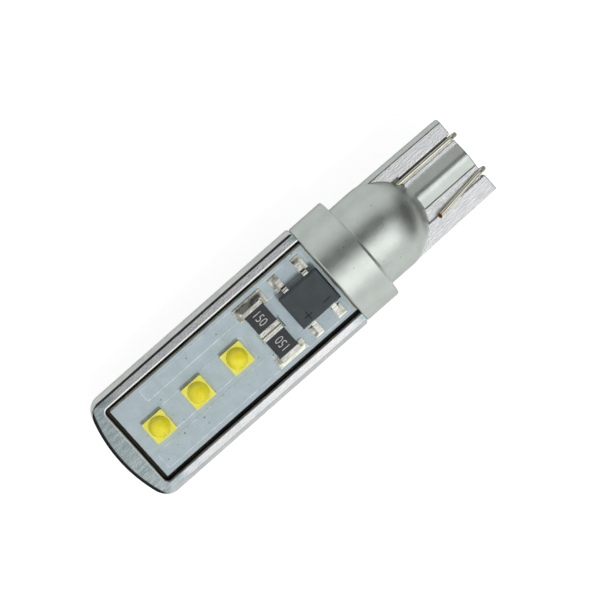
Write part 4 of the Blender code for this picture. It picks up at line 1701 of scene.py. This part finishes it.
@dataclass
class Rectifier(SubAssembly):
    """The moulded rectifier with its debossed signs and its bent leads."""

    draft: float = 0.18
    edge: float = 0.07
    parting: float = 0.03
    flash: float = 0.012
    edge_steps: int = 3
    edge_lean: float = 50.0
    sign_depth: float = 0.05
    sign_band: float = 0.2
    sign_width: float = 0.12
    sign_length: float = 0.96
    sign_inset: tuple[float, float] = (1.25, 0.85)
    lead_thickness: float = 0.2
    lead_shoulder: float = 0.3
    lead_foot: float = 0.9
    lead_bend: float = 0.14
    lead_edge: float = 0.02
    lead_steps: int = 5
    lead_lean: float = 60.0
    leads: int = 4
    crease: float = 35.0
    lead_crease: float = 40.0

    def build(self) -> None:
        """Model the body and the leads, and dress both sides'."""
        box = self.lamp.box("rectifier_front")
        body = self.body(box)
        self.both_sides(body, "rectifier_body_{}", "rectifier_epoxy", "rectifier_{}")
        for number in range(1, self.leads + 1):
            lead = self.lead(self.lamp.box(f"rectifier_lead_front_{number}"), box.middle)
            name = f"rectifier_leg_{{}}_{number}"
            self.both_sides(lead, name, "tinned_lead", f"rectifier_lead_{{}}_{number}")

    def body(self, box: Box) -> Workpiece:
        """The drafted body, its parting line and its signs.

        Args:
            box: The body's box.

        Returns:
            The body.
        """
        middle = box.middle
        body = Workpiece.block("epoxy", box.low, box.high)
        for level in (middle.z - self.parting, middle.z + self.parting):
            body.slice((0, 0, level), (0, 0, 1))
        for level in (box.low.z, box.high.z):
            body.pick_verts(lambda place: abs(place.z - level) < TINY)
            factors = [1 - 2 * self.draft / length for length in box.size.xy]
            body.stretch((*factors, 1), (middle.x, middle.y, level))
        body.pick_faces(lambda place, _: abs(place.z - middle.z) < self.parting / 2)
        body.stretch([1 + 2 * self.flash / length for length in box.size.xy] + [1], middle).done()
        body.soften(self.edge, self.edge_steps, self.edge_lean)
        dx, dy = self.sign_inset
        plus = (box.low.x + dx, box.low.y + dy)
        minus = (box.high.x - dx, box.low.y + dy)
        bars = ((plus, 0), (plus, 1), (minus, 0))
        for place, upright in bars:
            reach = Vector((self.sign_length, self.sign_width)) / 2
            if upright:
                reach = Vector((reach.y, reach.x))
            low = (place[0] - reach.x, place[1] - reach.y, box.high.z - self.sign_depth)
            high = (place[0] + reach.x, place[1] + reach.y, box.high.z + self.sign_depth)
            body.combine(Workpiece.block("sign", low, high), Operation.CUT)
        body.smooth(self.crease).dress(self.finishes["moulded_epoxy"])
        floor, root = box.high.z - self.sign_depth / 2, box.high.z - self.sign_band
        inside = lambda place, normal: normal.z > SQUARE and root < place.z < floor
        return body.dress(self.finishes["marking_recess"], inside)

    def lead(self, box: Box, middle: Vector) -> Workpiece:
        """A lead that leaves the body's side, bends down and ends in a foot.

        Args:
            box: The lead's box.
            middle: The body's middle.

        Returns:
            The lead.
        """
        away = 1 if box.middle.y > middle.y else -1
        toe = box.high.y if away > 0 else -box.low.y
        root = box.low.y if away > 0 else -box.high.y
        half = self.lead_thickness / 2
        knee = root + self.lead_shoulder
        heel = toe - self.lead_foot
        line = [(root - half, box.high.z - half), (knee, box.high.z - half)]
        line += [(heel, box.low.z + half), (toe, box.low.z + half)]
        bent = round_corners(line, self.lead_bend, self.lead_steps)
        outline = [(y * away, z) for y, z in ribbon(bent, self.lead_thickness)]
        lead = Workpiece.drawn("leg", outline, box.low.x, box.high.x)
        lead.soften(self.lead_edge, angle=self.lead_lean).smooth(self.lead_crease)
        return lead.dress(self.finishes["tin_plate"])


@dataclass
class SolderWork(SubAssembly):
    """The flowed joints at the resistors and at the rectifier's feet."""

    film: float = 0.06
    rim: float = 0.12
    lines: int = 34
    outer_height: float = 0.12
    spread: float = 0.85
    middle_height: float = 0.3
    lead_height: float = 0.045
    foot: float = 0.9
    waviness: float = 0.12
    pad_spread: tuple[float, float] = (-0.27, 0.16)
    pad_reach: tuple[float, float] = (-0.12, 0.3)
    leads: int = 4
    blank: float = 1.0
    gap_share: float = 0.8
    wave_turns: tuple[float, float, float, float] = (5.1, 2.3, 3.7, -1.9)
    crease: float = 60.0

    def build(self) -> None:
        """Model each joint and dress both sides'."""
        chips = [self.lamp.box(f"resistor_front_{number}") for number in (1, 2)]
        for number, chip in enumerate(chips, 1):
            node = f"resistor_solder_{{}}_outer_{number}"
            joint = self.joint(self.pad(node), chip, self.outer_height)
            self.both_sides(joint, f"outer_joint_{{}}_{number}", "solder", node)
        node = "resistor_solder_{}_middle"
        pad = self.pad(node)
        low = Vector((chips[0].low.x, pad.low.y - OVERRUN, 0))
        between = Box(low, Vector((chips[0].high.x, pad.high.y + OVERRUN, 0)))
        joint = self.joint(pad, between, self.middle_height, (chips[1].high.y, chips[0].low.y))
        self.both_sides(joint, "middle_joint_{}", "solder", node)
        for number in range(1, self.leads + 1):
            lead = self.lamp.box(f"rectifier_lead_front_{number}")
            away = 1 if lead.middle.y > 0 else -1
            toe = lead.high.y if away > 0 else lead.low.y
            ends = sorted((toe, toe - away * self.foot))
            foot = Box(Vector((lead.low.x, ends[0], 0)), Vector((lead.high.x, ends[1], 0)))
            node = f"lead_solder_{{}}_{number}"
            pad = self.pad(node)
            spread = self.pad_spread[lead.middle.x > self.lamp.box("rectifier_front").middle.x]
            shift = Vector((spread, 0, 0))
            reach = Vector((0, away * self.pad_reach[away > 0], 0))
            low, high = pad.low + shift, pad.high + shift
            pad = Box(low, high + reach) if away > 0 else Box(low + reach, high)
            joint = self.joint(pad, foot, self.lead_height)
            self.both_sides(joint, f"lead_joint_{{}}_{number}", "solder", node)

    def pad(self, node: str) -> Box:
        """The box of a joint's node on the front."""
        return self.lamp.box(node.format(Side.FRONT.value))

    def joint(
        self, pad: Box, cover: Box, height: float, gap: Optional[tuple[float, float]] = None
    ) -> Workpiece:
        """Solder that wets a pad and creeps up round the part on it.

        Args:
            pad: The pad's box.
            cover: The box of the part that covers some of it.
            height: How high it creeps.
            gap: Where the part leaves a gap across the lamp.

        Returns:
            The joint.
        """
        middle, size = pad.middle, pad.size
        deselect()
        bpy.ops.mesh.primitive_grid_add(
            x_subdivisions=self.lines,
            y_subdivisions=self.lines,
            size=1,
            location=(middle.x, middle.y, pad.low.z + self.blank),
        )
        bpy.ops.object.transform_apply(location=True, rotation=True, scale=True)
        joint = Workpiece(bpy.context.object, "joint")
        joint.pick_all().stretch((size.x, size.y, 1), middle).extrude((0, 0, -self.blank))
        bpy.ops.mesh.select_all(action="SELECT")
        bpy.ops.mesh.normals_make_consistent(inside=False)
        joint.done()

        def level(place: Vector) -> Vector:
            """Draw the grid's lines together towards the pad's edges, and lift them.

            Args:
                place: A point of the even grid.

            Returns:
                Where it goes.
            """
            share = [(place[i] - middle[i]) / (size[i] / 2) for i in (0, 1)]
            x, y = (middle[i] + size[i] / 2 * math.sin(share[i] * math.pi / 2) for i in (0, 1))
            if place.z < pad.low.z + self.blank / 2:
                return Vector((x, y, pad.low.z))
            edge = min(x - pad.low.x, pad.high.x - x, y - pad.low.y, pad.high.y - y)
            round_off = math.sqrt(1 - (1 - min(max(edge, 0) / self.rim, 1)) ** 2)
            return Vector((x, y, pad.low.z + self.creep(x, y, pad, cover, height, gap) * round_off))

        return joint.shape(level).smooth(self.crease).dress(self.finishes["flowed_solder"])

    def creep(
        self,
        x: float,
        y: float,
        pad: Box,
        cover: Box,
        height: float,
        gap: Optional[tuple[float, float]],
    ) -> float:
        """How high the solder stands at a point.

        Args:
            x: The point's place along the lamp.
            y: Its place across the lamp.
            pad: The pad's box.
            cover: The covering part's box.
            height: The height at the part.
            gap: Where the part leaves a gap.

        Returns:
            The height above the board.
        """
        out_x = max(cover.low.x - x, x - cover.high.x, 0)
        out_y = max(cover.low.y - y, y - cover.high.y, 0)
        if gap and gap[0] < y < gap[1] and out_x == 0:
            return height * self.gap_share
        if out_x == 0 and out_y == 0:
            return self.film
        room_x = max(cover.low.x - pad.low.x, pad.high.x - cover.high.x, SEAT)
        room_y = max(cover.low.y - pad.low.y, pad.high.y - cover.high.y, SEAT)
        share = min(math.hypot(out_x / room_x, out_y / room_y) / self.spread, 1)
        first, second, third, fourth = self.wave_turns
        ripple = math.sin(first * x + second * y) * math.cos(third * y + fourth * x)
        wave = 1 + self.waviness * ripple
        return self.film + height * (1 - share) ** 2 * wave


@dataclass
class ContactWires(BaseFitted):
    """The two wires that lie in the blade's grooves and turn round its end."""

    diameter: float = 0.5
    steps: int = 22
    groove: float = 2.27
    loop_setback: float = 0.12
    loop_shift: float = 0.1
    tip_splay: float = 0.55
    tip_lift: float = 0.1
    tip_gap: float = 1.4
    tip_back: float = 0.15
    tip_cut: tuple[float, float, float] = (-0.8, 0.0, -0.6)
    cut_lean: float = 0.75
    bend_setback: float = 1.4
    bend_lean: float = 0.45
    facets: int = 7
    crease: float = 50.0

    def build(self) -> None:
        """Model a wire and dress both."""
        joint = self.lamp.box("wire_solder_front")
        end = self.lamp.box("wedge_base").high.x
        points = self.path(joint, end)
        wire = self.wire(points)
        tip = Vector(points[-1])
        wire.dress(self.finishes["plated_wire"])
        at_tip = lambda place, normal: (place - tip).length < self.diameter and normal.x < -self.cut_lean
        wire.dress(self.finishes["cut_copper"], at_tip)
        at_bend = lambda place, normal: place.x > end - self.notch and normal.x > self.bend_lean
        wire.dress(self.finishes["dulled_bend"], at_bend)
        self.both_sides(wire, "wire_{}", "contact_wire", "contact_wire_{}")

    def path(self, joint: Box, end: float) -> list[tuple[float, float, float]]:
        """The wire's line, from the board's end round the blade's end to its tip.

        Args:
            joint: The box of the joint that it starts at.
            end: Where the blade ends.

        Returns:
            The points.
        """
        start = joint.high.x + SEAT
        level, height = joint.middle.z, self.wire_height
        bend = self.neck_end + self.chamber_reach - self.bend_setback - start
        shares = [i / self.steps for i in range(self.steps + 1)]
        points = [
            (start + bend * share, self.groove, level + (height - level) * ease(share))
            for share in shares
        ]
        turn = end - self.notch - self.loop_setback
        for share in shares:
            angle = math.pi * share
            y = self.groove - self.loop_shift * share
            points.append((turn + height * math.sin(angle), y, height * math.cos(angle)))
        tip_z = self.flange_height + self.diameter / 2 + self.tip_lift
        dome = math.sqrt(self.neck_radius**2 - (self.groove + self.tip_splay) ** 2 - tip_z**2)
        length = turn - self.neck_end - dome - self.tip_gap
        for share in shares[1:]:
            y = self.groove - self.loop_shift + (self.tip_splay + self.loop_shift) * share
            points.append((turn - length * share, y, -height - (tip_z - height) * share))
        return points

    def wire(self, points: Sequence[Point]) -> Workpiece:
        """A round wire through the points.

        Args:
            points: The points.

        Returns:
            The wire.
        """
        curve = bpy.data.curves.new("wire", "CURVE")
        curve.dimensions = "3D"
        curve.bevel_depth = self.diameter / 2
        curve.bevel_resolution = self.facets
        curve.use_fill_caps = True
        spline = curve.splines.new("POLY")
        spline.points.add(len(points) - 1)
        for point, place in zip(spline.points, points):
            point.co = (*place, 1)
        item = bpy.data.objects.new("wire", curve)
        bpy.context.scene.collection.objects.link(item)
        deselect()
        item.select_set(True)
        bpy.context.view_layer.objects.active = item
        bpy.ops.object.convert(target="MESH")
        wire = Workpiece(bpy.context.object, "wire")
        wire.pick_all()
        bpy.ops.mesh.remove_doubles(threshold=TINY)
        bpy.ops.mesh.normals_make_consistent(inside=False)
        wire.pick_all()
        tip = Vector(points[-1]) + Vector((self.tip_back, 0, 0))
        bpy.ops.mesh.bisect(
            plane_co=tip, plane_no=self.tip_cut, use_fill=True, clear_outer=True, threshold=TINY
        )
        return wire.done().smooth(self.crease)


@dataclass
class Adhesive(SubAssembly):
    """The thin bead that holds each board at the collar's mouth."""

    radius: float = 0.085
    sides: int = 16
    cuts: int = 40
    wander: float = 0.025
    inset: float = 0.1
    side_radius: float = 0.13
    side_offset: float = 0.07
    side_drop: float = 0.22
    swell: float = 0.2
    flatness: float = 0.6
    mouth_reach: float = 0.05
    wave_turns: tuple[float, float, float] = (3.1, 1.3, 2.2)
    wave_starts: tuple[float, float] = (0.7, 0.4)
    crease: float = 50.0

    def build(self) -> None:
        """Model a bead and dress both."""
        board = self.lamp.box("circuit_board_front")
        length = board.size.y - self.inset
        centre = (-self.radius / 2, 0, board.high.z)
        bead = Workpiece.rod("bead", centre, self.radius, length, (90, 0, 0), self.sides)
        for i in range(1, self.cuts):
            bead.slice((0, length * (i / self.cuts - 0.5), 0), (0, 1, 0))
        bead.done()
        fine, slow, turns = self.wave_turns

        def wander(place: Vector) -> Vector:
            """Draw the bead in and out along its length.

            Args:
                place: A point of the straight bead.

            Returns:
                Where it goes.
            """
            swell = math.sin(fine * place.y) * math.sin(slow * place.y + self.wave_starts[0])
            swell = 1 + self.swell * swell
            x = place.x * swell + self.wander * math.sin(turns * place.y + self.wave_starts[1])
            rise = (place.z - board.high.z) * self.flatness * swell
            return Vector((min(x, self.mouth_reach), place.y, board.high.z + rise))

        bead.shape(wander).smooth(self.crease).dress(self.finishes["adhesive"])
        ends = (board.low.x + self.inset, -self.inset)
        side = (sum(ends) / 2, board.high.y + self.side_offset, board.high.z - self.side_drop)
        line = Workpiece.rod("side_bead", side, self.side_radius, ends[1] - ends[0], (0, 90, 0), self.sides)
        line.smooth(self.crease).dress(self.finishes["board_glue"])
        bead.attach([line])
        self.both_sides(bead, "glue_bead_{}", "led_phosphor")


def round_corners(line: Sequence[Point], radius: float, steps: int) -> list[tuple[float, float]]:
    """A line with an arc in place of each corner.

    Args:
        line: The line's points.
        radius: The arcs' radius.
        steps: How many steps an arc takes.

    Returns:
        The rounded line.
    """
    rounded = [tuple(line[0])]
    for before, corner, after in zip(line, line[1:], line[2:]):
        corner = Vector(corner)
        back = (Vector(before) - corner).normalized()
        ahead = (Vector(after) - corner).normalized()
        half = back.angle(ahead) / 2
        centre = corner + (back + ahead).normalized() * (radius / math.sin(half))
        start = corner + back * (radius / math.tan(half)) - centre
        end = corner + ahead * (radius / math.tan(half)) - centre
        for i in range(steps + 1):
            rounded.append(tuple(centre + start.lerp(end, i / steps).normalized() * radius))
    return [*rounded, tuple(line[-1])]


def ribbon(line: Sequence[Point], thickness: float) -> list[tuple[float, float]]:
    """The outline of a strip along a line.

    Args:
        line: The strip's middle line.
        thickness: Its thickness.

    Returns:
        The outline's points, once round.
    """
    places = [Vector(place) for place in line]
    sides = ([], [])
    for i, place in enumerate(places):
        along = (places[min(i + 1, len(places) - 1)] - places[max(i - 1, 0)]).normalized()
        across = Vector((-along.y, along.x)) * (thickness / 2)
        sides[0].append(tuple(place + across))
        sides[1].append(tuple(place - across))
    return sides[0] + sides[1][::-1]


@dataclass(frozen=True)
class Lobe:
    """A soft patch of the studio's light, by its direction from the lamp."""

    across: float
    along: float
    inner: float
    outer: float
    level: float

    def direction(self, lamp: LampFrame) -> Vector:
        """Where the patch is.

        Args:
            lamp: The lamp's frame.

        Returns:
            A unit vector in the frame.
        """
        across, along = math.radians(self.across), math.radians(self.along)
        local = Vector((math.sin(along), math.sin(across), math.cos(across) * math.cos(along)))
        return (lamp.to_row.to_3x3() @ local).normalized()


@dataclass
class Studio:
    """The floor, the soft light and the camera."""

    lamp: LampFrame
    aim: float = -3.72
    lean: float = 4.7
    turn: float = 41.37
    distance: float = 160.0
    lens: float = 96.0
    clip: float = 16.0
    floor_half: float = 2.0
    floor_colour: float = 0.68
    floor_seen: float = 0.35
    floor_white: float = 0.85
    base_level: float = 0.6
    least_level: float = 0.02
    floor_rough: float = 0.9
    lobes: tuple[Lobe, ...] = (
        Lobe(20, 0, 12, 28, -0.66),
        Lobe(14, 35, 8, 24, -0.45),
        Lobe(-30, 0, 10, 29, 0.62),
        Lobe(-16, 88, 30, 52, -0.58),
        Lobe(-5, -23, 7, 13, -0.35),
        Lobe(-5, 13, 8, 16, 0.2),
    )
    key_across: float = -20.0
    key_distance: float = 250.0
    key_size: float = 40.0
    key_power: float = 0.33

    def build(self) -> None:
        """Set up all three."""
        self.set_camera()
        self.set_world()
        self.set_key()
        self.lay_floor()
        bpy.context.scene.view_settings.view_transform = "Standard"

    def set_camera(self) -> None:
        """Hold the camera over the front board, turned as in the picture."""
        lean, turn = math.radians(self.lean), math.radians(self.turn)
        towards = Vector((0, math.sin(lean), math.cos(lean)))
        along = Vector((1, 0, 0))
        across = towards.cross(along)
        right = along * math.cos(turn) - across * math.sin(turn)
        up = along * math.sin(turn) + across * math.cos(turn)
        place = self.lamp.to_row @ (Vector((self.aim, 0, 0)) + towards * self.distance)
        axes = self.lamp.to_row.to_3x3() @ Matrix((right, up, towards)).transposed()
        camera = bpy.data.objects.new("camera", bpy.data.cameras.new("camera"))
        bpy.context.scene.collection.objects.link(camera)
        camera.matrix_world = Matrix.Translation(place) @ axes.normalized().to_4x4()
        camera.data.lens = self.lens
        camera.data.clip_start = self.clip * MM
        bpy.context.scene.camera = camera

    def set_world(self) -> None:
        """Light the lamp from soft patches all round, with white behind it."""
        world = bpy.data.worlds.new("studio")
        bpy.context.scene.world = world
        world.use_nodes = True
        nodes, links = world.node_tree.nodes, world.node_tree.links
        nodes.clear()
        place = nodes.new("ShaderNodeTexCoord").outputs["Generated"]
        level = None
        for lobe in self.lobes:
            dot = nodes.new("ShaderNodeVectorMath")
            dot.operation = "DOT_PRODUCT"
            links.new(place, dot.inputs[0])
            dot.inputs[1].default_value = lobe.direction(self.lamp)
            span = nodes.new("ShaderNodeMapRange")
            span.interpolation_type = "SMOOTHSTEP"
            links.new(dot.outputs["Value"], span.inputs["Value"])
            span.inputs["From Min"].default_value = math.cos(math.radians(lobe.outer))
            span.inputs["From Max"].default_value = math.cos(math.radians(lobe.inner))
            span.inputs["To Max"].default_value = lobe.level
            total = nodes.new("ShaderNodeMath")
            links.new(span.outputs["Result"], total.inputs[0])
            if level:
                links.new(level, total.inputs[1])
            else:
                total.inputs[1].default_value = self.base_level
            level = total.outputs[0]
        kept = nodes.new("ShaderNodeMath")
        kept.operation = "MAXIMUM"
        links.new(level, kept.inputs[0])
        kept.inputs[1].default_value = self.least_level
        light = nodes.new("ShaderNodeBackground")
        links.new(kept.outputs[0], light.inputs["Strength"])
        white = nodes.new("ShaderNodeBackground")
        white.inputs["Color"].default_value = WHITE
        light.inputs["Color"].default_value = WHITE
        mix = nodes.new("ShaderNodeMixShader")
        links.new(nodes.new("ShaderNodeLightPath").outputs["Is Camera Ray"], mix.inputs[0])
        links.new(light.outputs[0], mix.inputs[1])
        links.new(white.outputs[0], mix.inputs[2])
        links.new(mix.outputs[0], nodes.new("ShaderNodeOutputWorld").inputs[0])

    def set_key(self) -> None:
        """Hang a soft key light on the side that the picture is lit from."""
        towards = Lobe(self.key_across, 0, 0, 0, 0).direction(self.lamp)
        data = bpy.data.lights.new("key", "AREA")
        data.shape = "DISK"
        data.size = self.key_size * MM
        data.energy = self.key_power
        key = bpy.data.objects.new("key", data)
        key.visible_glossy = False
        bpy.context.scene.collection.objects.link(key)
        key.location = self.lamp.to_row @ Vector((self.aim, 0, 0)) + towards * self.key_distance * MM
        key.rotation_euler = towards.to_track_quat("Z", "Y").to_euler()

    def lay_floor(self) -> None:
        """Lay the pale floor, half of whose white stays in the lamp's shadow."""
        deselect()
        bpy.ops.mesh.primitive_plane_add(size=2 * self.floor_half)
        floor = bpy.context.object
        floor.name = "floor"
        material = bpy.data.materials.new("pale_floor")
        material.use_nodes = True
        nodes, links = material.node_tree.nodes, material.node_tree.links
        shader = nodes["Principled BSDF"]
        tone = nodes.new("ShaderNodeMix")
        links.new(nodes.new("ShaderNodeLightPath").outputs["Is Camera Ray"], tone.inputs[0])
        tone.inputs[2].default_value = self.floor_colour
        tone.inputs[3].default_value = self.floor_seen
        links.new(tone.outputs[0], shader.inputs["Base Color"])
        shader.inputs["Roughness"].default_value = self.floor_rough
        shader.inputs["Emission Color"].default_value = WHITE
        path = nodes.new("ShaderNodeLightPath")
        strength = nodes.new("ShaderNodeMath")
        strength.operation = "MULTIPLY"
        strength.inputs[1].default_value = self.floor_white
        links.new(path.outputs["Is Camera Ray"], strength.inputs[0])
        links.new(strength.outputs[0], shader.inputs["Emission Strength"])
        floor.data.materials.append(material)


HIDDEN_FINISHES = {"wire_solder": "flowed_solder", "link_wire": "link_copper"}


def dress_hidden(lamp: LampFrame, finishes: FinishShop) -> None:
    """Give the nodes that stay as they are their finishes.

    Args:
        lamp: The lamp's frame.
        finishes: The finishes.
    """
    for name, item in lamp.nodes.items():
        for start, finish in HIDDEN_FINISHES.items():
            if name.startswith(start):
                item.data.materials.clear()
                item.data.materials.append(finishes[finish])
                LOG.info("%s: keeps its solid", name)


def main() -> None:
    """Build the lamp, its studio and its camera."""
    logging.basicConfig(level=logging.INFO, format="%(name)s %(message)s")
    lamp = LampFrame(frame["record"], frame["nodes"])
    finishes = FinishShop(lamp.to_row)
    Studio(lamp).build()
    assemblies = (HeatSink, WedgeBase, CircuitBoard, LedPackage, ChipResistor, Rectifier)
    for assembly in (*assemblies, SolderWork, ContactWires, Adhesive):
        assembly(lamp, finishes).build()
    dress_hidden(lamp, finishes)


if __name__ == "__main__":
    main()
